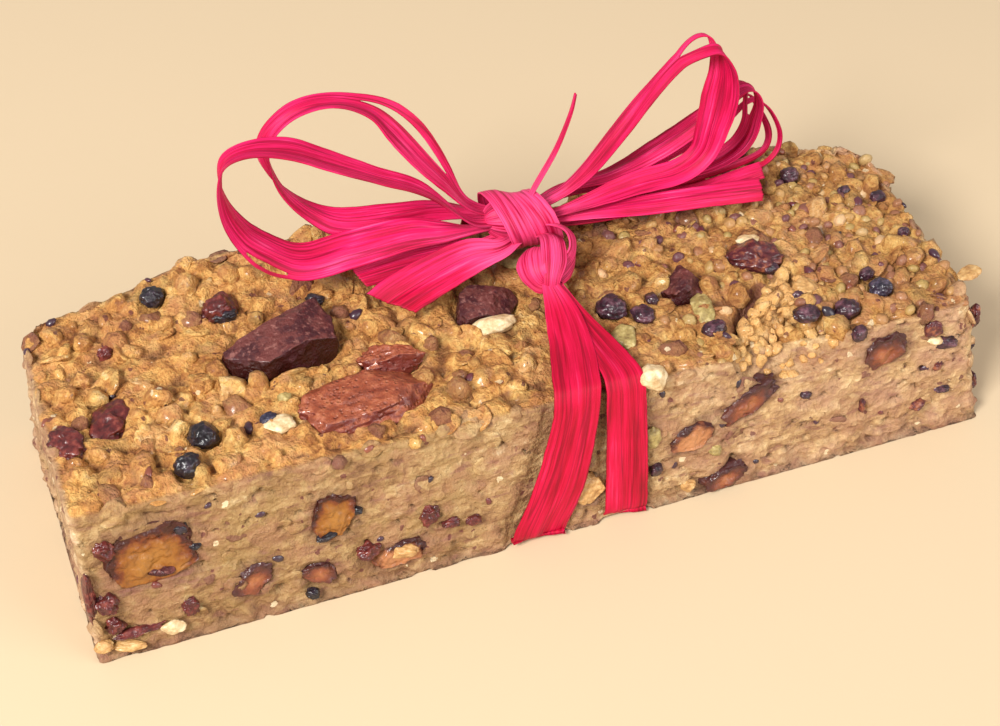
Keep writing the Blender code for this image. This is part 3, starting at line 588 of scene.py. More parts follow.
def bar_base():
    """Make the bar's smooth outline with the marks that its relief and crumbs follow."""
    keys, faces = cube_skin(BAR_CELLS)
    cube = 2.0 * keys / np.array(BAR_CELLS) - 1
    place = bar_place(cube[:, 0], cube[:, 1], cube[:, 2])
    mesh = bpy.data.meshes.new("bar outline")
    mesh.from_pydata(place.tolist(), [], faces.tolist())
    outward = np.zeros(len(place) * 3)
    mesh.vertex_normals.foreach_get("vector", outward)
    outward = outward.reshape(-1, 3)
    baked = smooth(0.25, 0.75, outward[:, 2])
    under = smooth(0.3, 0.8, -outward[:, 2])
    front = outward[:, 1] < -0.5
    free = np.ones(len(place))
    stain = np.zeros(len(place))
    for (x, y, raised), size, turn, boxy in TOP_PIECES.values():
        away = plan_distance(place[:, 0] - x * MM, place[:, 1] - y * MM, size, turn, boxy)
        free = np.where(outward[:, 2] > 0.3, np.minimum(free, smooth(0.72, 1.0, away)), free)
    for (x, z), size, turn, boxy in FRONT_PIECES.values():
        away = plan_distance(place[:, 0] - x * MM, place[:, 2] - z * MM, (size[0], size[2]), turn, boxy)
        free = np.where(front, np.minimum(free, smooth(0.62, 0.92, away)), free)
        # Round each cut piece the crumb is marked for a darker ring.
        stain = np.where(front, np.maximum(stain, 1 - smooth(0.95, 1.6, away)), stain)
    strap_room = np.minimum(*[strap_distance(place, route) for route in STRAPS.values()])
    strapped = 1 - smooth(0.3 * MM, 1.3 * MM, strap_room)
    offset = (place - TORN_STEP_AT) / TORN_STEP_REACH
    step = np.sqrt(np.maximum(0.0, 1 - (offset ** 2).sum(1)))
    crack = crack_distance(place)
    ledge = smooth(0.0, 0.9 * MM, crack) * (1 - smooth(3.0 * MM, 6.5 * MM, crack)) * baked
    torn = np.maximum(step, ledge)
    foot = (1 - smooth(*OPEN_FOOT, place[:, 2])) * smooth(0.0, 3 * MM, strap_room)
    foot = foot * (1 - baked) * (1 - under)
    sink = TOP_SINK * baked + SIDE_SINK * (1 - baked) * (1 - under)
    sink += PIECE_HOLLOW * (1 - free) * np.where(under > 0.5, 0.0, 1.0)
    sink += strapped * (GROOVE_UNDER * under + GROOVE_SIDES * (1 - under) * (1 - baked)) * MM
    place -= outward * sink[:, None]
    place -= np.array((0.0, -1.0, 0.9)) * TORN_STEP_DEPTH * step[:, None]
    recess = np.exp(-(crack / (0.9 * MM)) ** 2) * baked
    place[:, 2] += LEDGE_RISE * ledge - CRACK_DEPTH * recess
    mesh.vertices.foreach_set("co", place.ravel())
    free = np.minimum(free, 1 - strapped)
    clear = (strap_room > 1.6 * MM) & (free > 0.95) & (recess < 0.3)
    sides = (1 - baked) * (1 - under)
    # The tone is raised on the torn ledge as painted light and lowered in the crack as painted shade.
    marks = {"baked": baked, "under": under, "free": free, "torn": torn, "foot": foot,
             "stain": stain, "tone": 0.5 + 1.1 * ledge - 1.6 * recess,
             "top_crumbs": baked * clear * (ledge < 0.3),
             "right_crumbs": baked * clear * (ledge < 0.3) * smooth(8 * MM, 36 * MM, place[:, 0]),
             "side_crumbs": sides * clear * (torn < 0.1) * (place[:, 2] > LOWEST_CRUMB),
             "torn_crumbs": (torn > 0.25) * (recess < 0.4) * 1.0}
    for name, values in marks.items():
        mesh.attributes.new(name, "FLOAT", "POINT").data.foreach_set("value", values.astype(np.float32))
    mesh.attributes.new("outward", "FLOAT_VECTOR", "POINT").data.foreach_set(
        "vector", outward.astype(np.float32).ravel())
    return plain_object("bar outline", mesh)


CRUMB = crumb_material()
outline = bar_base()
bar = grown("crumb_body", outline, relief_tree(), {"Material": CRUMB})
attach(bar, "root")
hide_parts("granola_bar")


# Oats and puffed grain: rolled oat flakes, crisped grains and small beads stuck all over the bar.
# They lie flat under the glaze on top and are pressed flush into the cut sides.
FLAKE_KINDS, PUFF_KINDS = 5, 4
# The relief that a loose grain's colour is read from, so that it gets none of the painted crevice shade:
# it is as bright as a raised lump.
GRAIN_RELIEF = 0.4


def closed_mesh(name, tool):
    """Turn a closed shape's faces outwards and keep it as a smooth mesh."""
    bmesh.ops.recalc_face_normals(tool, faces=tool.faces)
    mesh = bpy.data.meshes.new(name)
    tool.to_mesh(mesh)
    tool.free()
    mesh.shade_smooth()
    return mesh


def oat_flake(seed):
    """Make one rolled oat: a thin oval plate with a ragged rim and a crease along it."""
    draw = random.Random(seed)
    sides = 13
    length, width, thick = 5.0 * MM, 3.9 * MM, 0.75 * MM
    tool = bmesh.new()
    rim = [1 + draw.uniform(-0.13, 0.08) for side in range(sides)]
    bend = draw.uniform(-0.5, 0.5)
    rings = []
    for share, rise in ((0.45, 1.0), (0.86, 0.85), (1.0, 0.25), (0.94, -0.35)):
        ring = []
        for side in range(sides):
            angle = math.tau * side / sides
            x = math.cos(angle) * share * rim[side] * length / 2
            y = math.sin(angle) * share * rim[side] * width / 2
            crease = math.exp(-(y / (0.45 * MM)) ** 2) * 0.35
            z = thick * (rise * 0.5 - crease * (rise > 0.3)) + bend * (x / length) ** 2 * 2.2 * MM
            ring.append(tool.verts.new((x, y, z)))
        rings.append(ring)
    for ring, following in zip(rings, rings[1:]):
        for side in range(sides):
            after = (side + 1) % sides
            tool.faces.new((ring[side], ring[after], following[after], following[side]))
    top = tool.verts.new((0, 0, thick * 0.2))
    foot = tool.verts.new((0, 0, -thick * 0.6))
    for side in range(sides):
        after = (side + 1) % sides
        tool.faces.new((rings[0][after], rings[0][side], top))
        tool.faces.new((rings[-1][side], rings[-1][after], foot))
    return closed_mesh("oat flake", tool)


def puffed_grain(seed):
    """Make one puffed grain: a lumpy oval."""
    tool = bmesh.new()
    for vert in bmesh.ops.create_icosphere(tool, subdivisions=2, radius=1.0)["verts"]:
        way = vert.co.normalized()
        lump = 1 + 0.40 * noise.noise(way * 1.6 + Vector((seed * 7.3, 0, 0)))
        lump += 0.26 * noise.noise(way * 3.6 + Vector((0, seed * 5.1, 0)))
        vert.co = Vector((way.x * 1.45, way.y * 1.15, way.z * 0.95)) * lump * MM
    return closed_mesh("puffed grain", tool)


def small_bead():
    """Make one small round grain with the band that runs round it."""
    tool = bmesh.new()
    ball = bmesh.ops.create_uvsphere(tool, u_segments=8, v_segments=5, radius=1.0)["verts"]
    for vert in ball:
        way = vert.co.normalized()
        band = 1 + 0.10 * math.exp(-(way.z / 0.25) ** 2)
        vert.co = Vector((way.x * band, way.y * band, way.z * 0.72)) * 0.85 * MM
    return closed_mesh("bead", tool)


def seed_grain():
    """Make one small pointed seed."""
    tool = bmesh.new()
    ball = bmesh.ops.create_uvsphere(tool, u_segments=7, v_segments=5, radius=1.0)["verts"]
    for vert in ball:
        way = vert.co.normalized()
        taper = 1 - 0.35 * way.x
        vert.co = Vector((way.x * 0.95, way.y * 0.6 * taper, way.z * 0.45 * taper)) * MM
    return closed_mesh("seed", tool)


def scatter_tree():
    """Lay loose grains over a surface: apart, turned at random, tilted a little and part sunk."""
    graph, given = geometry_graph("scattered grains", {
        "Grains": ("Collection", None),
        "Where": ("String", "top_crumbs"),
        "Apart": ("Float", 2.0 * MM),
        "Sink": ("Float", 0.2 * MM),
        "Tilt": ("Float", 0.3),
        "Smallest": ("Float", 0.7),
        "Largest": ("Float", 1.1),
        "Seed": ("Int", 0),
        "Material": ("Material", None),
    })
    apart, tilt, seed = given["Apart"], given["Tilt"], given["Seed"]
    points = graph.node("GeometryNodeDistributePointsOnFaces", {"distribute_method": "POISSON"}, {
        "Mesh": given["Geometry"], "Distance Min": apart, "Density Max": 1 / (apart * apart),
        "Density Factor": named(graph, given["Where"]), "Seed": seed})

    def drawn(kind, low, high, step):
        return graph.node("FunctionNodeRandomValue", {"data_type": kind},
                          {"Min": low, "Max": high, "Seed": seed + step})

    turn = graph.xyz(drawn("FLOAT", -1.0, 1.0, 1) * tilt, drawn("FLOAT", -1.0, 1.0, 2) * tilt,
                     drawn("FLOAT", 0.0, math.tau, 3))
    turned = graph.node("FunctionNodeRotateRotation", {"rotation_space": "LOCAL"}, {
        "Rotation": points.other("Rotation"),
        "Rotate By": graph.node("FunctionNodeEulerToRotation", {}, {"Euler": turn})})
    kinds = graph.node("GeometryNodeCollectionInfo", {}, {
        "Collection": given["Grains"], "Separate Children": True, "Reset Children": True})
    laid = graph.node("GeometryNodeInstanceOnPoints", {}, {
        "Points": points, "Instance": kinds, "Pick Instance": True,
        "Instance Index": drawn("INT", 0, 99, 4), "Rotation": turned,
        "Scale": drawn("FLOAT", given["Smallest"], given["Largest"], 5)})
    sunk = graph.node("GeometryNodeTranslateInstances", {}, {
        "Instances": laid, "Translation": graph.xyz(0.0, 0.0, given["Sink"] * -1)})
    toned = stored(graph, sunk, "tone", drawn("FLOAT", 0.0, 1.0, 6), domain="INSTANCE")
    marked = stored(graph, toned, "relief", GRAIN_RELIEF, domain="INSTANCE")
    end_geometry(graph, marked, given["Material"])
    return graph.tree


def kernels(name, meshes):
    """Put the shapes that a scatter draws from in a collection of their own."""
    group = bpy.data.collections.new(name)
    for index, mesh in enumerate(meshes):
        group.objects.link(bpy.data.objects.new(f"{name} {index}", mesh))
    return group


SCATTER = scatter_tree()
OATS = kernels("oats", [oat_flake(seed) for seed in range(FLAKE_KINDS)])
PUFFS = kernels("puffs", [puffed_grain(seed) for seed in range(PUFF_KINDS)])
BEADS = kernels("beads", [small_bead()])
SEEDS = kernels("seeds", [seed_grain()])


def crumb_mark(obj, label, value):
    """Give all of a piece's scattered grains the same value of a mark."""
    values = np.full(len(obj.data.vertices), value, np.float32)
    layer = obj.data.attributes.get(label) or obj.data.attributes.new(label, "FLOAT", "POINT")
    layer.data.foreach_set("value", values)


def bead_material():
    """Small glazed grains: mauve-brown, tan, olive and pale pink ones side by side."""
    material, graph, place = new_material("glazed beads")
    colour = graph.ramp(attribute(graph, "tone"), [
        (0.0, (0.075, 0.022, 0.036)), (0.18, (0.17, 0.060, 0.040)), (0.42, (0.28, 0.125, 0.048)),
        (0.66, (0.36, 0.200, 0.066)), (0.84, (0.28, 0.190, 0.058)), (1.0, (0.50, 0.310, 0.160))])
    fine = graph.noise(place, 0.6 * MM, 3.0)
    colour = graph.mix(fine, colour, graph.scaled(colour, 1.5))
    rough = 0.36 + 0.30 * fine
    surface(graph, {"Coat Weight": 0.18, "Coat Roughness": 0.16}, Base_Color=colour, Roughness=rough,
            Normal=bumped(graph, fine, 0.35 * MM, 0.9))
    return material


def seed_material():
    """Dark glossy seeds, from red-brown to nearly black."""
    material, graph, place = new_material("dark seeds")
    colour = graph.ramp(attribute(graph, "tone"), [
        (0.0, (0.020, 0.012, 0.022)), (0.4, (0.060, 0.018, 0.036)),
        (0.7, (0.13, 0.024, 0.026)), (1.0, (0.24, 0.070, 0.035))])
    rough = 0.25 + 0.25 * graph.noise(place, 0.8 * MM)
    surface(graph, {"Coat Weight": 0.4, "Coat Roughness": 0.1}, Base_Color=colour, Roughness=rough)
    return material


SEED_SKIN = seed_material()
BEAD_GLAZE = bead_material()
# The torn crumbs' tone, which paints them bright golden as painted light on the ledge's lit slope.
TORN_LIT_TONE = 1.4
# Piece: the shapes, where they lie, how far apart and how deep in millimetres, tilt, smallest and
# largest size, seed, how baked they look and their finish.
GRAINS = {
    "oat_flakes_top": (OATS, "top_crumbs", 3.0, 0.30, 0.40, (0.45, 0.90), 3, 1.0, CRUMB),
    "puffed_grains_top": (PUFFS, "top_crumbs", 2.5, 0.45, 1.2, (0.55, 1.45), 11, 1.0, CRUMB),
    "beads_top": (BEADS, "right_crumbs", 1.5, 0.42, 1.2, (0.65, 1.25), 23, 0.85, BEAD_GLAZE),
    "oat_flakes_sides": (OATS, "side_crumbs", 3.6, 0.42, 0.12, (0.45, 0.85), 31, 0.08, CRUMB),
    "puffed_grains_sides": (PUFFS, "side_crumbs", 4.4, 0.95, 0.6, (0.6, 1.1), 41, 0.05, CRUMB),
    "crumbs_of_torn_edge": (PUFFS, "torn_crumbs", 1.1, 0.35, 1.0, (0.30, 0.85), 51, 0.9, CRUMB),
    "seeds_top": (SEEDS, "top_crumbs", 7.5, -0.05, 0.7, (0.6, 1.1), 61, 0.0, SEED_SKIN),
    "seeds_right": (SEEDS, "right_crumbs", 5.0, -0.05, 0.7, (0.7, 1.35), 65, 0.0, SEED_SKIN),
    "seeds_sides": (SEEDS, "side_crumbs", 5.6, 0.16, 0.3, (0.5, 1.0), 71, 0.0, SEED_SKIN),
}
for name, (shapes, where, apart, sink, tilt, sizes, seed, baked, finish) in GRAINS.items():
    grains = grown(name, bar, SCATTER, {
        "Grains": shapes, "Where": where, "Apart": apart * MM, "Sink": sink * MM, "Tilt": tilt,
        "Smallest": sizes[0], "Largest": sizes[1], "Seed": seed, "Material": finish})
    crumb_mark(grains, "baked", baked)
    if where == "torn_crumbs":
        crumb_mark(grains, "tone", TORN_LIT_TONE)
    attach(grains, "root")
    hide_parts("granola_bar")
bpy.data.objects.remove(outline)


# Fruit, chocolate and caramel: chunks pressed into the top, and pieces that the knife cut through.
# They are cut and dried by hand, so each has its own lumps, wrinkles and glossy skin.
FRONT_FACE_BULGE = 0.05 * MM
FRONT_PIECE_SINK = 0.9 * MM
PIECE_SQUARENESS, BREAK_FLATNESS = 0.85, 0.92
# Kind: how fine the ball is cut, wrinkle width and depth in millimetres, how uneven its outline
# is, how many flat breaks it has and how far out they lie.
SKINS = {
    "chocolate": (6, 2.2, 0.22, 0.14, 7, 0.80),
    "date": (6, 1.6, 0.20, 0.30, 3, 0.86),
    "cranberry": (5, 1.9, 0.36, 0.42, 2, 0.84),
    "currant": (5, 3.0, 0.15, 0.26, 2, 0.84),
    "berry": (5, 2.4, 0.16, 0.28, 1, 0.90),
    "caramel": (6, 1.6, 0.22, 0.34, 3, 0.86),
    "nut": (5, 1.8, 0.16, 0.28, 3, 0.84),
    "cream": (4, 2.0, 0.08, 0.28, 4, 0.76),
    "green": (4, 2.0, 0.08, 0.26, 4, 0.78),
}
# The chocolate block's own breaks: which way each faces and how far out it lies.
BLOCK_BREAKS = (((-0.34, 0.91, 0.22), 0.58), ((-0.48, -0.16, 0.86), 0.70), ((0.12, -0.98, 0.06), 0.80),
                ((0.62, -0.20, 0.76), 0.98), ((-0.80, -0.58, 0.10), 0.86))


def wrinkle(place, width):
    """Return sharp-edged folds from -1 to 0 about width apart."""
    folds = noise.noise(place / (width * MM))
    finer = noise.noise(place / (width * 0.45 * MM) + Vector((9.0, 0, 0)))
    return -abs(folds) * 1.4 - abs(finer) * 0.5


def chunk_mesh(kind, size, boxy, number, breaks=()):
    """Make a lumpy wrinkled stone about the origin, broken flat on some sides."""
    detail, width, depth, uneven, flats, cut = SKINS[kind]
    draw = random.Random(number * 17 + 3)
    if not breaks:
        ways = [Vector([draw.uniform(-1, 1) for axis in range(3)]).normalized() for flat in range(flats)]
        breaks = [(way, cut * draw.uniform(0.92, 1.12)) for way in ways]
    tool = bmesh.new()
    ball = bmesh.ops.create_icosphere(tool, subdivisions=detail, radius=1.0)["verts"]
    for vert in ball:
        way = vert.co.normalized()
        block = way / max(abs(way.x), abs(way.y), abs(way.z))
        shape = way.lerp(block, PIECE_SQUARENESS * boxy)
        shift = Vector((number * 3.1, number, 0.0))
        lumps = 0.6 * noise.noise(way * 1.7 + shift) + 0.4 * noise.noise(way * 3.9 + shift)
        shape *= 1 + uneven * lumps
        for normal, out in breaks:
            over = shape.dot(Vector(normal)) - out
            if over > 0:
                shape -= Vector(normal) * over * BREAK_FLATNESS
        solid = Vector([shape[axis] * size[axis] * MM / 2 for axis in range(3)])
        fold = wrinkle(solid + Vector((number * 11, 0, 0)) * MM, width)
        vert.co = solid * (1 + (fold + 0.35) * depth * MM / max(solid.length, 1e-6))
    return tool


def finished_chunk(name, tool, place, turn, material):
    """Put a chunk in its place, as a piece that stands for the node of its name."""
    tool.transform(Matrix.Translation(place) @ turn)
    chunk = plain_object(name + "_chunk", closed_mesh(name, tool))
    chunk.data.materials.append(material)
    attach(chunk, "root")
    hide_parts(name)
    return chunk


def facing_up(graph):
    """Return how far a surface faces up, from -1 to 1."""
    return graph.parts(graph.node("ShaderNodeNewGeometry", {}, {}, out=1)).other("Z")


def chocolate_material():
    """Dark chocolate with bare glossy breaks and a dull purple-brown bloom, painted stronger on faces
    that look up, partly as painted light.
    """
    material, graph, place = new_material("dark chocolate")
    up = facing_up(graph)
    worn = graph.noise(place, 2.4 * MM, 4.0, 0.65)
    # Faces that look up turn purple-brown: partly real bloom, partly painted light on the faces the lamps
    # reach.
    bloom = graph.rise(up + worn * 1.5 - 0.75, 0.25, 0.75)
    dust = graph.rise(graph.noise(place, 0.5 * MM, 3.0), 0.55, 0.68)
    colour = graph.mix(bloom, (0.032, 0.004, 0.003, 1), (0.135, 0.034, 0.030, 1))
    colour = graph.mix(graph.rise(worn, 0.46, 0.60) * 0.9, colour, (0.050, 0.009, 0.013, 1))
    colour = graph.mix(dust * bloom * 0.6, colour, (0.30, 0.125, 0.105, 1))
    rough = 0.20 + 0.26 * bloom + 0.10 * dust
    chips = graph.noise(place, 1.1 * MM, 5.0, 0.65)
    surface(graph, {"Coat Weight": 0.2, "Coat Roughness": 0.10, "Specular IOR Level": 0.25},
            Base_Color=colour, Roughness=rough, Normal=bumped(graph, chips, 0.60 * MM, 1.0))
    return material


def date_material():
    """Date flesh: orange-brown and grainy with wet glints, redder and darker at its skin."""
    material, graph, place = new_material("date flesh")
    pulp = graph.noise(place, 1.1 * MM, 5.0, 0.7)
    flat = facing_up(graph)
    skin = graph.rise(abs(flat) + 0.7 * (graph.noise(place, 2.2 * MM, 3.0) - 0.5), 0.80, 0.45)
    flesh = graph.ramp(pulp, [(0.30, (0.145, 0.024, 0.009)), (0.50, (0.295, 0.064, 0.024)),
                              (0.70, (0.46, 0.150, 0.065))])
    colour = graph.mix(skin * 0.85, flesh, (0.115, 0.010, 0.008, 1))
    pores = graph.cells(place, 0.62 * MM)
    rough = 0.26 + 0.25 * graph.noise(place, 0.7 * MM)
    height = pulp + 0.6 * graph.rise(pores, 0.0, 0.42)
    surface(graph, {"Coat Weight": 0.45, "Coat Roughness": 0.08}, Base_Color=colour, Roughness=rough,
            Normal=bumped(graph, height, 0.40 * MM, 0.9))
    return material


def dried_berry_material(name, dark, middle, light, far_middle, far_light):
    """Wrinkled dried fruit with a glossy skin, nearly black in its folds; its colour turns with X."""
    material, graph, place = new_material(name)
    skin = graph.noise(place, 1.0 * MM, 4.0, 0.65)
    along = graph.rise(graph.parts(place), -20 * MM, 10 * MM)
    colour = graph.mix(along, graph.ramp(skin, [(0.30, dark), (0.52, middle), (0.74, light)]),
                       graph.ramp(skin, [(0.30, dark), (0.50, far_middle), (0.70, far_light)]))
    rough = 0.22 + 0.25 * graph.noise(place, 0.6 * MM)
    surface(graph, {"Coat Weight": 0.3, "Coat Roughness": 0.08, "Specular IOR Level": 0.4},
            Base_Color=colour, Roughness=rough, Normal=bumped(graph, skin, 0.25 * MM, 0.7))
    return material


def cut_material(name, heart, flesh, near_skin, skin, stops):
    """A piece that was cut through: a smooth heart inside a dark ragged skin, from stop to stop."""
    material, graph, place = new_material(name)
    swirl = graph.noise(place, 2.6 * MM, 4.0, 0.6)
    ragged = attribute(graph, "rim") + 1.2 * (swirl - 0.5)
    ragged = ragged + 0.5 * (graph.noise(place, 0.8 * MM, 3.0) - 0.5)
    colour = graph.ramp(ragged, list(zip(stops, (heart, flesh, near_skin, skin))))
    rough = 0.24 + 0.2 * graph.noise(place, 1.2 * MM)
    surface(graph, {"Coat Weight": 0.25, "Coat Roughness": 0.06, "Specular IOR Level": 0.3},
            Base_Color=colour, Roughness=rough,
            Normal=bumped(graph, graph.noise(place, 1.5 * MM, 5.0, 0.6), 0.55 * MM, 0.8))
    return material


def flesh_material(name, dark, middle, light):
    """Nut or seed flesh with a grainy broken face."""
    material, graph, place = new_material(name)
    grain = graph.noise(place, 0.9 * MM, 4.0, 0.65)
    colour = graph.ramp(grain, [(0.3, dark), (0.52, middle), (0.72, light)])
    rough = 0.38 + 0.25 * grain
    surface(graph, {"Coat Weight": 0.15, "Coat Roughness": 0.15}, Base_Color=colour, Roughness=rough,
            Normal=bumped(graph, grain, 0.25 * MM, 0.8))
    return material


CHUNK_FINISHES = {
    "chocolate": chocolate_material(),
    "date": date_material(),
    "cranberry": dried_berry_material("dried cranberry", (0.030, 0.005, 0.006), (0.105, 0.014, 0.014),
                                      (0.28, 0.065, 0.045), (0.085, 0.014, 0.020), (0.34, 0.110, 0.050)),
    "currant": dried_berry_material("dried currant", (0.004, 0.003, 0.005), (0.012, 0.008, 0.013),
                                    (0.055, 0.035, 0.055), (0.040, 0.013, 0.024), (0.17, 0.070, 0.095)),
    "berry": dried_berry_material("blue berry skin", (0.008, 0.007, 0.016), (0.022, 0.020, 0.045),
                                  (0.15, 0.15, 0.22), (0.026, 0.018, 0.036), (0.15, 0.12, 0.19)),
    "caramel": cut_material("caramel heart", (0.32, 0.134, 0.025), (0.25, 0.086, 0.013),
                            (0.150, 0.034, 0.010), (0.055, 0.012, 0.008), (0.15, 0.60, 0.80, 0.94)),
    "cut fruit": cut_material("cut fruit", (0.33, 0.115, 0.045), (0.215, 0.058, 0.026),
                              (0.120, 0.034, 0.022), (0.060, 0.018, 0.018), (0.02, 0.38, 0.62, 0.90)),
    "cut date": cut_material("cut date", (0.47, 0.205, 0.085), (0.38, 0.150, 0.060),
                             (0.170, 0.052, 0.026), (0.045, 0.012, 0.012), (0.10, 0.66, 0.86, 1.0)),
    "nut": flesh_material("nut flesh", (0.30, 0.13, 0.040), (0.52, 0.29, 0.10), (0.70, 0.47, 0.21)),
    "cream": flesh_material("pale flake", (0.44, 0.27, 0.11), (0.69, 0.52, 0.29), (0.86, 0.75, 0.52)),
    "green": flesh_material("olive seed", (0.19, 0.125, 0.04), (0.39, 0.295, 0.10), (0.64, 0.52, 0.24)),
}
CURRANT_SHRINK = 0.84
# The finish of a kind or a piece that the knife cut through, where it isn't its kind's own.
CUT_FINISH = {"cranberry": "cut fruit", "date": "cut date", "date_at_foot": "cut fruit"}
# How far a kind or a piece is pressed deeper into the crumb than its row says.
DEEPER = {"currant": 0.70, "berry": 0.60, "cranberry": 0.60, "chocolate_chip_right": 0.9,
          "chocolate_under_bow": 0.5, "cranberry_left": 1.1}
for number, (name, (spot, size, turn, boxy)) in enumerate(TOP_PIECES.items()):
    kind = name.split("_")[0]
    x, y, raised = (value * MM for value in spot)
    middle = Vector((x, y, top_height(x, y) + raised - DEEPER.get(name, DEEPER.get(kind, 0.0)) * MM))
    breaks = BLOCK_BREAKS if name == "chocolate_block" else ()
    if kind in ("currant", "berry"):
        size = [side * CURRANT_SHRINK for side in size]
    finished_chunk(name, chunk_mesh(kind, size, boxy, number, breaks), middle,
                   Matrix.Rotation(math.radians(turn), 4, "Z"), CHUNK_FINISHES[kind])
for number, (name, (spot, size, turn, boxy)) in enumerate(FRONT_PIECES.items(), len(TOP_PIECES)):
    kind = name.split("_")[0]
    x, z = (value * MM for value in spot)
    middle = Vector((x, front_depth(x, z) + FRONT_PIECE_SINK, z))
    finish = CHUNK_FINISHES[CUT_FINISH.get(name, CUT_FINISH.get(kind, kind))]
    chunk = finished_chunk(name, chunk_mesh(kind, size, boxy, number), middle,
                           Matrix.Rotation(math.radians(-turn), 4, "Y"), finish)
    rims = []
    for vert in chunk.data.vertices:
        relief = 0.45 * MM * noise.noise(vert.co / (1.6 * MM))
        relief += 0.2 * MM * noise.noise(vert.co / (0.6 * MM))
        vert.co.y = max(vert.co.y, front_depth(vert.co.x, vert.co.z) - FRONT_FACE_BULGE + relief)
        out = float(plan_distance(vert.co.x - x, vert.co.z - z, (size[0], size[2]), turn, boxy))
        rims.append(out + 0.22 * (vert.co.z - z) / (size[2] * MM / 2))
    chunk.data.attributes.new("rim", "FLOAT", "POINT").data.foreach_set("value", rims)

# Single small bits by the face they sit in: their kind, two places on the face and their size.
# The places are X and Y on top, X and Z on the front, Y and Z on the right end.
BITS = (
    ("top", (
        ("berry", -32.4, -8.7, 1.9, 1.6, 1.5), ("cream", -31.4, -9.9, 3.6, 2.6, 1.0),
        ("green", -29.7, -6.0, 1.8, 1.3, 1.2), ("currant", -21.9, 8.4, 2.2, 1.6, 1.4),
        ("currant", -32.9, 9.4, 3.2, 2.2, 1.9), ("cranberry", -54.4, -4.8, 3.6, 5.0, 2.2),
        ("cranberry", -47.5, 8.2, 2.0, 1.5, 1.3), ("cream", -3.0, -2.2, 6.0, 2.4, 2.2),
        ("cream", 11.5, -16.8, 3.5, 3.6, 2.8), ("green", 11.2, -9.2, 3.2, 4.2, 1.4),
        ("green", 22.4, -7.6, 2.6, 5.2, 1.4), ("currant", 22.2, -11.4, 3.2, 2.2, 1.8),
        ("currant", 15.0, -6.2, 2.4, 3.0, 1.6), ("currant", 17.2, -4.0, 1.6, 2.0, 1.5),
        ("cream", 33.2, 1.8, 3.0, 2.2, 1.4), ("currant", 33.6, -3.6, 2.2, 1.8, 1.6),
        ("currant", 34.0, -12.6, 3.4, 2.4, 1.8), ("currant", 34.5, -9.5, 1.8, 1.4, 1.4),
        ("currant", 44.6, -8.4, 2.2, 1.6, 1.4), ("currant", 49.7, 7.0, 1.8, 1.5, 1.4),
        ("currant", 53.4, 4.6, 2.0, 1.6, 1.5), ("currant", 53.0, -2.8, 1.6, 1.3, 1.3),
        ("green", 4.0, 8.6, 5.0, 3.4, 1.8), ("green", -10.6, 16.4, 5.4, 3.4, 2.0),
        ("nut", 57.0, -12.4, 3.6, 2.2, 0.8), ("nut", 36.0, -8.4, 3.6, 3.0, 2.0))),
    ("front", (
        ("cranberry", -56.2, 9.1, 1.3, 1.6, 8.6), ("cranberry", -54.6, 8.1, 3.0, 2.4, 2.6),
        ("cranberry", -54.0, 4.9, 2.2, 2.0, 2.0), ("cream", -47.9, 2.3, 3.0, 1.6, 1.9),
        ("cranberry", -45.5, 4.6, 2.0, 1.6, 2.6), ("currant", -43.8, 12.8, 1.5, 1.4, 0.9),
        ("cranberry", -51.5, 3.2, 5.6, 1.4, 0.9), ("currant", -45.0, 15.5, 1.6, 1.4, 1.2),
        ("nut", -20.3, 4.3, 4.0, 2.2, 2.0), ("cranberry", -16.5, 7.9, 1.6, 1.4, 1.6),
        ("cranberry", -14.1, 6.4, 2.2, 1.6, 1.3), ("cranberry", -24.3, 5.7, 3.0, 2.0, 2.0),
        ("currant", 12.3, 5.9, 1.8, 1.6, 1.8), ("green", 11.5, 10.8, 2.6, 1.6, 3.4),
        ("green", 20.0, 6.5, 2.0, 1.5, 1.6), ("currant", 32.3, 11.3, 1.6, 1.3, 1.0),
        ("cranberry", 40.4, 7.2, 0.7, 1.3, 2.0), ("currant", 39.1, 18.4, 2.2, 1.8, 2.0),
        ("cranberry", 48.7, 4.9, 2.4, 1.4, 1.2), ("currant", 52.0, 6.5, 2.2, 1.4, 1.1),
        ("currant", 51.5, 13.8, 3.4, 1.6, 1.8), ("cream", 50.0, 14.4, 2.0, 1.3, 1.1),
        ("cranberry", 49.6, 16.3, 2.6, 1.5, 2.2), ("cranberry", 51.1, 10.3, 1.4, 1.3, 1.2))),
    ("right", (
        ("cranberry", -16.0, 15.2, 1.8, 1.6, 3.2), ("currant", -14.8, 9.2, 2.4, 1.6, 1.8),
        ("cranberry", -16.2, 3.4, 2.2, 1.6, 2.4))),
    ("front", (
        ("chocolate", -48.0, 10.7, 3.4, 2.0, 1.3), ("currant", -25.3, 11.8, 1.7, 1.4, 1.2),
        ("currant", -28.9, 9.3, 2.6, 1.6, 1.0), ("cranberry", -53.5, 15.2, 2.6, 2.2, 2.6),
        ("nut", -55.8, 2.2, 2.2, 1.5, 1.6), ("nut", -53.0, 1.4, 3.8, 1.5, 1.2),
        ("currant", -31.4, 1.5, 1.7, 1.4, 1.4), ("nut", 16.7, 2.0, 2.0, 1.5, 1.8),
        ("cranberry", -16.6, 8.3, 2.6, 1.8, 3.0), ("cranberry", -11.3, 5.9, 1.8, 1.5, 1.4))),
)
TOP_BIT_SINK, FRONT_BIT_SINK, RIGHT_BIT_RISE = 0.5 * MM, 0.3 * MM, 0.5 * MM
BIT_BOXY, BIT_TURN = 0.2, 0.4
# Each bit draws its shape from its own number, and the first has this one.
FIRST_BIT = 40


def bit_spot(face, first, second):
    """Return where a bit's middle lies, from two places on its face."""
    if face == "top":
        return Vector((first, second, top_height(first, second) - TOP_BIT_SINK))
    if face == "front":
        return Vector((first, front_depth(first, second) + FRONT_BIT_SINK, second))
    return Vector((right_end(first, second) + RIGHT_BIT_RISE, first, second))


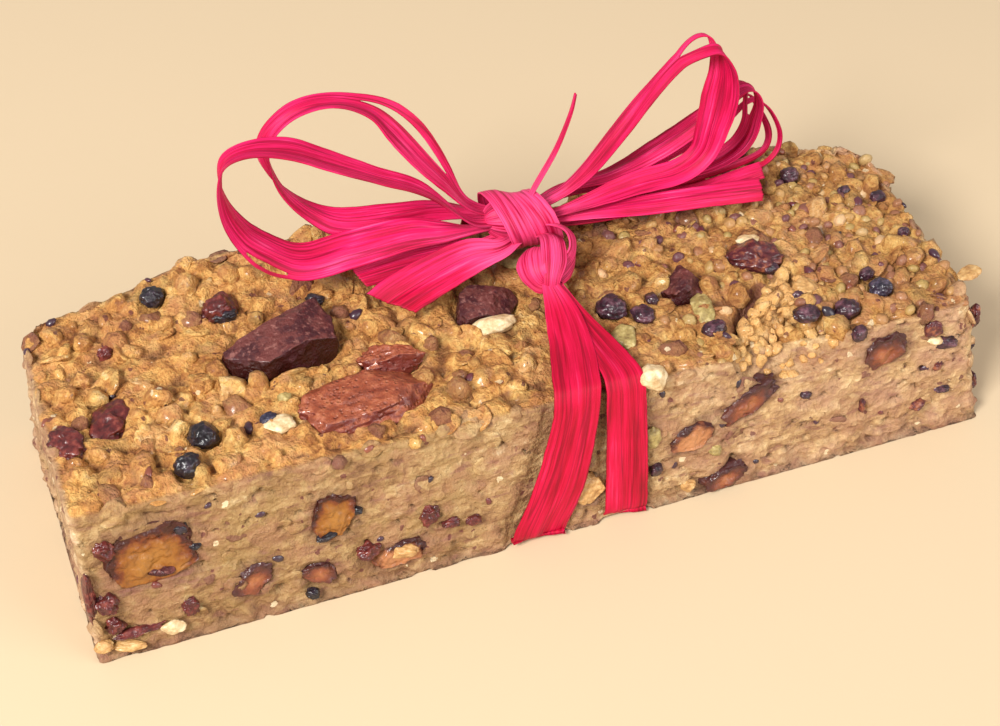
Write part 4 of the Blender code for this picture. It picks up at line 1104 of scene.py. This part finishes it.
loose_bits = {}
all_bits = [(face, row) for face, rows in BITS for row in rows]
for number, (face, (kind, first, second, *size)) in enumerate(all_bits, FIRST_BIT):
    size = size[1::-1] + size[2:] if face == "right" else size
    tool = chunk_mesh(kind, size, BIT_BOXY, number)
    tool.transform(Matrix.Translation(bit_spot(face, first * MM, second * MM))
                   @ Matrix.Rotation(BIT_TURN * math.sin(number), 4, "Z"))
    loose_bits.setdefault(kind, bmesh.new())
    part = bpy.data.meshes.new("bit")
    tool.to_mesh(part)
    tool.free()
    loose_bits[kind].from_mesh(part)
for kind, tool in loose_bits.items():
    bits = plain_object(kind + "_bits", closed_mesh(kind + " bits", tool))
    bits.data.materials.append(CHUNK_FINISHES[kind])
    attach(bits, "root")
    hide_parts("granola_bar")


# The raffia: flat dyed strips with fine fibres along them, folded, split and crushed in places.
# Two straps go round the bar; the loops and tails of the bow come out of the knots on top.
RAFFIA_WALL = 0.22 * MM
RAFFIA_HALF = 2.2 * MM
# Routes of the bow's loops, from one side of the knot round to the other.
LOOPS = {
    "bow_loop_left_upper": (
        (3.2, 10.8, 25.6, 1.8, 0), (-0.9, 11.4, 27.6, 2.2, -15), (-3.9, 11.6, 32.4, 3.8, -40),
        (-7.0, 12.0, 37.3, 4.6, -48), (-9.7, 12.8, 41.0, 4.4, -42), (-12.5, 13.5, 43.6, 3.4, -20),
        (-17.1, 14.0, 45.3, 2.8, 0), (-21.6, 14.0, 44.9, 2.6, 0), (-24.9, 14.0, 42.1, 2.2, 0),
        (-25.6, 13.8, 38.6, 2.4, 0), (-23.9, 13.7, 34.0, 2.6, 15), (-20.6, 13.6, 29.9, 3.0, 30),
        (-16.7, 12.8, 27.9, 3.6, 40), (-10.1, 12.0, 27.6, 3.4, 30), (-5.5, 12.2, 27.0, 2.6, 25),
        (-1.3, 11.9, 25.8, 1.9, 0), (3.2, 10.8, 24.6, 1.8, 0)),
    "bow_loop_left_lower": (
        (3.2, 10.0, 25.6, 1.8, 0), (-1.3, 9.2, 26.7, 1.9, 0), (-7.3, 9.3, 33.2, 2.6, -10),
        (-13.0, 9.0, 37.0, 3.0, -10), (-18.8, 9.0, 40.7, 3.6, -10), (-23.3, 9.0, 43.5, 4.0, -5),
        (-27.9, 9.0, 44.6, 3.0, 0), (-31.2, 8.8, 43.7, 2.6, 10), (-32.1, 8.5, 40.2, 2.8, 20),
        (-31.1, 8.5, 35.3, 3.6, 30), (-28.2, 8.5, 30.6, 4.4, 38), (-23.3, 8.5, 27.0, 4.6, 42),
        (-17.1, 8.8, 26.9, 4.6, 42), (-10.1, 9.0, 27.1, 4.0, 40), (-5.5, 9.0, 26.2, 2.9, 30),
        (-1.3, 9.6, 24.9, 1.9, 0), (3.2, 10.0, 24.6, 1.8, 0)),
    "bow_loop_right_tall": (
        (7.4, 10.6, 25.4, 1.8, 0), (11.3, 10.9, 26.6, 1.9, 0), (14.4, 10.5, 29.6, 2.4, 0),
        (18.1, 10.3, 34.6, 2.8, 0), (21.7, 10.3, 39.3, 3.0, 0), (25.9, 10.3, 43.7, 3.2, 0),
        (29.2, 10.0, 44.8, 3.4, 0), (30.7, 9.5, 41.4, 3.8, -40), (30.6, 9.0, 37.3, 4.6, -60),
        (29.9, 8.8, 33.1, 4.2, -60), (28.8, 8.8, 29.6, 3.4, -40), (25.8, 8.8, 27.7, 3.2, -35),
        (19.9, 8.9, 27.2, 3.0, -35), (11.3, 9.0, 25.6, 1.9, 0), (7.4, 9.6, 24.6, 1.8, 0)),
    "bow_loop_right_middle": (
        (7.4, 11.2, 24.8, 1.8, 0), (11.3, 12.2, 25.9, 1.8, 0), (18.2, 12.5, 26.2, 2.4, 20),
        (25.2, 13.0, 28.4, 3.0, 30), (31.4, 13.3, 31.6, 3.0, 20), (35.2, 13.3, 34.6, 2.6, 0),
        (37.0, 13.2, 34.6, 2.4, -20), (37.8, 12.9, 31.8, 2.6, -40), (36.9, 12.6, 27.4, 2.8, -40),
        (33.2, 12.0, 25.4, 2.6, -35), (26.5, 11.5, 24.9, 2.4, -35), (16.5, 10.7, 23.9, 2.0, -20),
        (11.3, 10.6, 23.9, 1.8, 0), (7.4, 10.4, 23.9, 1.8, 0)),
    "bow_loop_right_outer": (
        (7.4, 11.4, 24.2, 1.6, 0), (11.3, 12.6, 24.6, 1.6, 0), (18.0, 13.6, 24.4, 1.8, 20),
        (26.7, 14.8, 25.4, 1.8, 20), (34.0, 15.0, 28.4, 1.8, 10), (38.0, 15.3, 31.4, 1.8, 0),
        (40.4, 15.0, 29.5, 1.8, -30), (42.0, 14.0, 25.8, 1.8, -40), (41.0, 13.2, 23.4, 1.8, -40),
        (37.0, 12.3, 22.9, 1.8, -30), (30.1, 11.8, 22.8, 1.8, -30), (18.1, 12.2, 22.6, 1.6, -10),
        (11.3, 11.9, 22.9, 1.5, 0), (7.4, 11.2, 23.4, 1.5, 0)),
}
# Routes of the free ends, from the knots outwards.
TAILS = {
    "ribbon_tail_left_front": (
        (5.4, 8.2, 24.0, 1.4, 0), (3.2, 6.7, 24.4, 1.8, -20), (1.0, 5.7, 24.5, 2.6, -32),
        (-3.0, 5.4, 24.6, 4.4, -42), (-8.7, 4.0, 24.0, 5.2, -42), (-13.0, 2.9, 23.2, 5.4, -38),
        (-15.8, 1.6, 22.8, 5.2, -35)),
    "ribbon_tail_left_back": (
        (2.6, 8.6, 24.2, 1.6, 0), (-1.3, 8.2, 23.9, 1.8, 0), (-4.5, 7.9, 24.2, 2.6, -40),
        (-11.1, 7.8, 24.2, 3.6, -42), (-17.6, 7.3, 24.0, 3.4, -42)),
    "ribbon_tail_right_front": (
        (7.6, 9.4, 24.2, 1.6, 0), (11.3, 8.8, 24.2, 1.8, 0), (21.1, 7.6, 24.4, 2.6, 40),
        (29.5, 7.4, 23.7, 2.8, 40), (37.6, 7.2, 22.9, 3.0, 40)),
    "ribbon_tail_right_back": (
        (7.6, 10.2, 23.2, 1.4, 0), (11.3, 9.9, 22.4, 1.5, 0), (20.0, 9.3, 22.7, 2.0, 20),
        (30.0, 9.3, 23.2, 2.2, 30), (38.9, 9.8, 23.9, 2.2, 40)),
    "ribbon_sliver": (
        (6.4, 10.2, 26.8, 0.9, 0), (6.9, 10.2, 28.6, 0.9, 0), (9.6, 10.1, 34.1, 0.9, 0),
        (11.2, 10.0, 39.0, 0.7, 0), (11.8, 10.0, 42.2, 0.5, 0)),
}
# Where a strip is split: how far across from -1 to 1, start and end along it, opening in millimetres.
SLITS = {
    "bow_loop_left_upper": (0.45, 0.12, 0.34, 0.50),
    "bow_loop_left_lower": (-0.80, 0.60, 0.68, 0.30),
    "bow_loop_right_tall": (0.30, 0.38, 0.47, 0.9),
    "bow_loop_right_middle": (0.45, 0.44, 0.53, 0.45),
    "bow_loop_right_outer": (0.0, 0.30, 0.70, 0.38),
}
# The share of its length that a tail's slanting cut takes off one rim; below zero it is the lower one.
CUT_SLANT = {"ribbon_tail_left_front": -0.15, "ribbon_tail_left_back": -0.06}


def raffia_material():
    """Dyed raffia: hot pink-red and satin along its fibres, with painted shade along its creases, the bow
    painted lighter than the straps and a painted sheen near the knot.
    """
    material, graph, place = new_material("pink raffia")
    fibre = attribute(graph, "fibre", 1)
    streaks = graph.noise(graph.vector("MULTIPLY", fibre, (0.030, 1.0, 1.0)), 0.26 * MM, 4.0, 0.6)
    broad = graph.noise(graph.vector("MULTIPLY", fibre, (0.12, 1.0, 1.0)), 1.6 * MM, 2.0)
    cloud = graph.noise(place, 7 * MM, 2.0)
    shade = 0.62 * streaks + 0.34 * broad + 0.24 * cloud - 0.05
    strap = graph.ramp(shade, [(0.34, (0.20, 0.001, 0.012)), (0.50, (0.42, 0.001, 0.024)),
                               (0.64, (0.60, 0.003, 0.052)), (0.82, (0.80, 0.050, 0.170))])
    bow = graph.ramp(shade, [(0.34, (0.25, 0.001, 0.022)), (0.50, (0.50, 0.002, 0.055)),
                             (0.62, (0.73, 0.012, 0.128)), (0.80, (0.88, 0.130, 0.330))])
    # The bow up top is painted lighter and pinker than the straps lower down: painted light.
    height = graph.parts(place).other("Z")
    colour = graph.mix(graph.rise(height, 21.5 * MM, 25 * MM), strap, bow)
    # Near the knot the lighter streaks turn pale pink: a painted sheen.
    from_knot = graph.vector("DISTANCE", place, (5.5 * MM, 6.5 * MM, 25.5 * MM))
    painted_knot_sheen = graph.rise(from_knot, 12 * MM, 3 * MM) * graph.rise(shade, 0.42, 0.60)
    colour = graph.mix(painted_knot_sheen * 0.5, colour, (0.95, 0.115, 0.315, 1))
    # Thin dark lines along the strip: painted shade in its creases.
    folded = graph.noise(graph.vector("MULTIPLY", fibre, (0.02, 1.0, 1.0)), 1.1 * MM, 2.0)
    crease = graph.rise(abs(folded - 0.5), 0.030, 0.004)
    colour = graph.mix(crease * 0.55, colour, (0.15, 0.001, 0.010, 1))
    rough = 0.40 + 0.25 * streaks
    surface(graph, {"Specular IOR Level": 0.22}, Base_Color=colour, Roughness=rough,
            Normal=bumped(graph, streaks, 0.10 * MM, 0.8))
    return material


def raffia_tree():
    """Sweep a creased, ribbed strip along a route whose points carry half width and roll."""
    graph, given = geometry_graph("raffia strip", {
        "Across": ("Vector", (0.0, 1.0, 0.0)),
        "Rows": ("Int", 200),
        "Columns": ("Int", 33),
        "Fold": ("Float", 0.16),
        "Pleat": ("Float", 0.30 * MM),
        "Rib": ("Float", 0.10 * MM),
        "Slit Across": ("Float", 0.0),
        "Slit Start": ("Float", 2.0),
        "Slit End": ("Float", 3.0),
        "Slit Opening": ("Float", 0.0),
        "Slant": ("Float", 0.0),
        "Fray": ("Float", 0.0),
        "Seed": ("Float", 0.0),
        "Material": ("Material", None),
    })
    line = graph.node("GeometryNodeMeshToCurve", {}, {"Mesh": given["Geometry"]})
    line = graph.node("GeometryNodeCurveSplineType", {"spline_type": "CATMULL_ROM"}, {"Curve": line})
    line = graph.node("GeometryNodeSetSplineResolution", {}, {"Geometry": line, "Resolution": 10})
    grid = graph.node("GeometryNodeMeshGrid", {}, {
        "Size X": 1.0, "Size Y": 2.0, "Vertices X": given["Rows"], "Vertices Y": given["Columns"]})
    spot = graph.parts(graph.node("GeometryNodeInputPosition"))
    v = spot.other("Y")
    seed = given["Seed"]
    frayed = graph.noise(graph.xyz(seed, v * 5.0, 0.0), 1.0, 2.0) - 0.5
    u = spot.other("X") + 0.5
    shorter = 0.5 * abs(given["Slant"]) + 0.5 * given["Slant"] * v
    u = u * (1 - shorter) * (1 - given["Fray"] * (0.5 + frayed))

    def sampled(value, out):
        return graph.node("GeometryNodeSampleCurve", {"mode": "FACTOR", "use_all_curves": True},
                          {"Curves": line, "Value": value, "Factor": u}, out)

    half = sampled(named(graph, "half_width"), 0)
    roll = sampled(named(graph, "roll"), 0)
    middle = sampled(0.0, 1)
    along = graph.vector("NORMALIZE", middle.other("Tangent"))
    length = graph.node("GeometryNodeCurveLength", {}, {"Curve": line})
    run = u * length
    lean = graph.vector("DOT_PRODUCT", given["Across"], along)
    side = graph.vector("NORMALIZE", graph.vector("SUBTRACT", given["Across"], graph.scaled(along, lean)))
    side = graph.node("ShaderNodeVectorRotate", {}, {"Vector": side, "Axis": along, "Angle": roll})
    face = graph.vector("CROSS_PRODUCT", along, side)
    first = graph.noise(graph.xyz(run / (30 * MM), 0.0, seed), 1.0, 1.0) * 3.0 - 1.5
    second = graph.noise(graph.xyz(run / (22 * MM), 5.0, seed), 1.0, 1.0) * 3.0 - 1.5
    pleats = abs(v - first) - abs(v - second) * 0.8
    ribs = graph.noise(graph.xyz(run / (16 * MM), v * 5.0, seed + 5.0), 1.0, 2.0) - 0.5
    edge = graph.noise(graph.xyz(run / (2.6 * MM), graph.maths("SIGN", v) * 3, seed), 1.0, 2.0) - 0.5
    begin, finish = given["Slit Start"], given["Slit End"]
    share = graph.node("ShaderNodeClamp", {}, {"Value": (u - begin) / (finish - begin)})
    lens = graph.maths("SINE", share * math.pi) * given["Slit Opening"]
    away = v - given["Slit Across"]
    parted = graph.maths("SIGN", away) * lens * (1 - abs(away) / 2.2)
    out_along = half * v * (1 + 0.10 * edge) + parted
    crease = half * given["Fold"] * (1 - abs(v)) * 2
    bulge = crease + pleats * given["Pleat"] * 2 + ribs * given["Rib"] * 2
    where = graph.vector("ADD", middle, graph.scaled(side, out_along))
    where = graph.vector("ADD", where, graph.scaled(face, bulge))
    split = (lens > 0.05 * MM) * (abs(away) < 1.1 / (given["Columns"] - 1))
    fibre = graph.xyz(run, v * RAFFIA_HALF, seed * 7 * MM)
    marked = stored(graph, grid, "fibre", fibre, "FLOAT_VECTOR")
    kept = graph.node("GeometryNodeDeleteGeometry", {"domain": "FACE"},
                      {"Geometry": marked, "Selection": split})
    strip = graph.node("GeometryNodeSetPosition", {}, {"Geometry": kept, "Position": where})
    end_geometry(graph, strip, given["Material"])
    return graph.tree


RAFFIA = raffia_material()
RAFFIA_STRIP = raffia_tree()


def raffia_strip(name, node, route, across, **values):
    """Make one strip of raffia along rows of X, Y, Z, width and roll."""
    mesh = bpy.data.meshes.new(name + " route")
    places = [Vector(row[:3]) * MM for row in route]
    mesh.from_pydata(places, [(i, i + 1) for i in range(len(places) - 1)], [])
    halves = mesh.attributes.new("half_width", "FLOAT", "POINT")
    halves.data.foreach_set("value", [row[3] * MM / 2 for row in route])
    rolls = mesh.attributes.new("roll", "FLOAT", "POINT")
    rolls.data.foreach_set("value", [math.radians(row[4]) for row in route])
    base = plain_object(name + " route", mesh)
    settings = {"Across": across, "Material": RAFFIA}
    settings.update({label.replace("_", " "): value for label, value in values.items()})
    strip = grown(name, base, RAFFIA_STRIP, settings, RAFFIA_WALL)
    bpy.data.objects.remove(base)
    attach(strip, "root")
    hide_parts(node)


ALONG_BAR, ACROSS_BAR = (1.0, 0.0, 0.0), (0.0, 1.0, 0.0)
NO_SLIT = (0.0, 2.0, 3.0, 0.0)
SLIVER_PLEATS = 0.25
for number, (name, route) in enumerate(STRAPS.items()):
    raffia_strip(name + "_raffia", name, route, ALONG_BAR, Rows=420, Columns=31, Fold=0.03,
                 Pleat=0.26 * MM, Rib=0.06 * MM, Seed=31.0 + number)
for number, (name, route) in enumerate({**LOOPS, **TAILS}.items()):
    place, start, stop, opening = SLITS.get(name, NO_SLIT)
    thin = SLIVER_PLEATS if name == "ribbon_sliver" else 1.0
    raffia_strip(name + "_raffia", name, route, ACROSS_BAR, Rows=260 if name in LOOPS else 110,
                 Slit_Across=place, Slit_Start=start, Slit_End=stop, Slit_Opening=opening * MM,
                 Slant=CUT_SLANT.get(name, 0.0), Fray=0.03 if name in TAILS else 0.0,
                 Pleat=0.34 * thin * MM, Rib=0.05 * thin * MM, Seed=3.0 * number)


# The two knots: raffia bunched into a pleated bundle, with a slanting turn wrapped round it.
# The lower knot sits in front, where the straps' ends are tied over each other.
KNOT_AT = (5.0, 10.1, 24.7)
KNOT_LENGTH, KNOT_BELLY, KNOT_DROP = 9.0, 2.9, 1.4
LOWER_KNOT_AT = (5.8, 2.2, 23.4)
LOWER_KNOT_SIZE = (2.6, 2.8, 2.3)


def bundle_mesh(rings, sides, place_of, run_of):
    """Close a lofted bundle, with the fibre mark that the raffia's material follows."""
    tool = bmesh.new()
    fibre = tool.verts.layers.float_vector.new("fibre")
    loops = []
    for ring in range(rings):
        loop = []
        for side in range(sides):
            t, angle = ring / (rings - 1), math.tau * side / sides
            vert = tool.verts.new(place_of(t, angle))
            vert[fibre] = run_of(t, angle)
            loop.append(vert)
        loops.append(loop)
    for loop, following in zip(loops, loops[1:]):
        for side in range(sides):
            after = (side + 1) % sides
            tool.faces.new((loop[side], loop[after], following[after], following[side]))
    tool.faces.new(loops[0])
    tool.faces.new(loops[-1])
    return tool


def knot_piece(name, node, tool):
    """Finish a bundle as a piece of raffia that stands for a knot's node."""
    knot = plain_object(name, closed_mesh(name, tool))
    knot.data.materials.append(RAFFIA)
    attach(knot, "root")
    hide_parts(node)


def upper_bundle_place(t, angle):
    """Return a place on the pleated bundle that the slanting turn binds."""
    pleat = noise.noise(Vector((t * 1.5, math.cos(angle) * 2.4, math.sin(angle) * 2.4))) * 0.9
    belly = 0.3 + KNOT_BELLY * math.sqrt(math.sin(math.pi * (0.02 + 0.96 * t))) + pleat * 0.6
    return Vector((KNOT_AT[0] + (t - 0.5) * KNOT_LENGTH,
                   KNOT_AT[1] + belly * math.cos(angle),
                   KNOT_AT[2] + (0.5 - t) * KNOT_DROP + belly * 0.95 * math.sin(angle))) * MM


knot_piece("knot_bundle", "ribbon_knot_upper", bundle_mesh(
    70, 72, upper_bundle_place, lambda t, angle: Vector((t * KNOT_LENGTH, angle * 2.4, 0.0)) * MM))
TURN_RADIUS, TURN_SLANT, TURN_WIDTH, TURN_STEPS = 3.5, 1.4, 6.4, 18
turn_route = []
for step in range(TURN_STEPS + 1):
    angle = math.tau * (step / TURN_STEPS * 1.05 - 0.30)
    turn_route.append((KNOT_AT[0] + 0.3 - TURN_SLANT * math.sin(angle + 0.5),
                       KNOT_AT[1] + TURN_RADIUS * math.cos(angle),
                       KNOT_AT[2] + TURN_RADIUS * math.sin(angle), TURN_WIDTH, 0))
raffia_strip("knot_turn", "ribbon_knot_upper", turn_route, ALONG_BAR, Rows=200, Columns=41,
             Fold=0.02, Pleat=0.35 * MM, Rib=0.16 * MM, Seed=77.0)


def lower_ball_place(t, angle):
    """Return a place on the small ball under the lower knot's turns."""
    lift = math.pi * (0.04 + 0.92 * t)
    way = Vector((math.cos(lift), math.sin(lift) * math.cos(angle), math.sin(lift) * math.sin(angle)))
    pleat = 0.86 + 0.10 * noise.noise(Vector((t * 1.2, way.y * 3.0, way.z * 3.0)))
    return Vector([(LOWER_KNOT_AT[axis] + way[axis] * pleat * LOWER_KNOT_SIZE[axis]) * MM
                   for axis in range(3)])


knot_piece("lower_knot_ball", "ribbon_knot_lower", bundle_mesh(
    50, 60, lower_ball_place, lambda t, angle: Vector((t * 7.0, angle * 2.4, 5.0)) * MM))
LOWER_TURNS = {
    "lower_knot_turn_left": (
        (5.4, 5.2, 23.4, 2.2, 0), (4.3, 3.6, 24.4, 3.4, 22), (3.5, 1.9, 24.7, 4.0, 38),
        (3.4, 0.5, 24.0, 3.7, 48), (4.0, -0.5, 23.1, 2.6, 35), (4.8, -1.0, 23.0, 1.8, 0)),
    "lower_knot_turn_middle": (
        (7.0, 6.8, 23.9, 2.2, 0), (7.0, 4.9, 25.2, 2.7, -10), (6.6, 2.9, 26.0, 3.3, -16),
        (5.9, 0.6, 25.3, 3.3, -12), (5.2, -0.8, 24.1, 2.2, 0), (4.9, -1.3, 23.0, 1.9, 0)),
    "lower_knot_turn_right": (
        (6.8, 8.4, 24.2, 1.4, 0), (8.5, 6.1, 25.5, 2.4, -30), (9.3, 3.8, 25.5, 3.0, -60),
        (8.7, 2.0, 24.3, 2.8, -60), (7.3, 0.6, 23.5, 2.4, -30), (5.9, -0.4, 23.1, 2.0, 0)),
}
for number, (name, route) in enumerate(LOWER_TURNS.items()):
    raffia_strip(name, "ribbon_knot_lower", route, ALONG_BAR, Rows=90, Columns=27, Fold=0.16,
                 Pleat=0.22 * MM, Rib=0.12 * MM, Seed=90.0 + 4 * number)


# The setting: a plain pale floor, soft studio light and the camera, which looks down from the left.
FLOOR_HALF = 3.0
LIT_PLACE = Vector((0, 0, 0.012))
floor_mesh = bpy.data.meshes.new("floor")
floor_mesh.from_pydata([(-FLOOR_HALF, -FLOOR_HALF, 0), (FLOOR_HALF, -FLOOR_HALF, 0),
                        (FLOOR_HALF, FLOOR_HALF, 0), (-FLOOR_HALF, FLOOR_HALF, 0)], [], [(0, 1, 2, 3)])
floor = plain_object("floor", floor_mesh)
floor_finish, floor_graph, floor_place = new_material("pale floor")
surface(floor_graph, {"Base Color": (0.64, 0.50, 0.33, 1.0), "Roughness": 0.6})
floor.data.materials.append(floor_finish)


def soft_light(name, place, size, power, colour):
    """Hang a square soft light that faces the bar."""
    data = bpy.data.lights.new(name, "AREA")
    data.size = size
    data.energy = power
    data.color = colour
    lamp = bpy.data.objects.new(name, data)
    bpy.context.scene.collection.objects.link(lamp)
    lamp.location = place
    lamp.rotation_euler = (LIT_PLACE - Vector(place)).to_track_quat("-Z", "Y").to_euler()


soft_light("key light", (-0.42, -0.28, 0.47), 0.20, 6.4, (1.0, 0.97, 0.93))
soft_light("fill light", (0.44, -0.46, 0.32), 0.50, 2.8, (1.0, 0.97, 0.95))
world = bpy.data.worlds.new("room light")
world.use_nodes = True
room = world.node_tree.nodes["Background"].inputs
room["Color"].default_value = (1.0, 0.97, 0.93, 1.0)
room["Strength"].default_value = 0.48
bpy.context.scene.world = world
bpy.context.scene.view_settings.view_transform = "Standard"

CAMERA_AT = (-0.05992, -0.14953, 0.16732)
AZIMUTH, ELEVATION, ROLL = math.radians(-21.52), math.radians(44.22), math.radians(1.44)
SENSOR_WIDTH, PHOTO_WIDTH, FOCAL_PIXELS = 36.0, 1000, 1800
back = Vector((math.sin(AZIMUTH) * math.cos(ELEVATION), -math.cos(AZIMUTH) * math.cos(ELEVATION),
               math.sin(ELEVATION)))
level = Vector((0, 0, 1)).cross(back).normalized()
upright = back.cross(level)
right = math.cos(ROLL) * level + math.sin(ROLL) * upright
up = math.cos(ROLL) * upright - math.sin(ROLL) * level
lens = bpy.data.cameras.new("camera")
lens.sensor_width = SENSOR_WIDTH
lens.lens = SENSOR_WIDTH * FOCAL_PIXELS / PHOTO_WIDTH
lens.clip_start = 0.01
camera = bpy.data.objects.new("camera", lens)
bpy.context.scene.collection.objects.link(camera)
camera.matrix_world = Matrix.Translation(CAMERA_AT) @ Matrix((right, up, back)).transposed().to_4x4()
bpy.context.scene.camera = camera
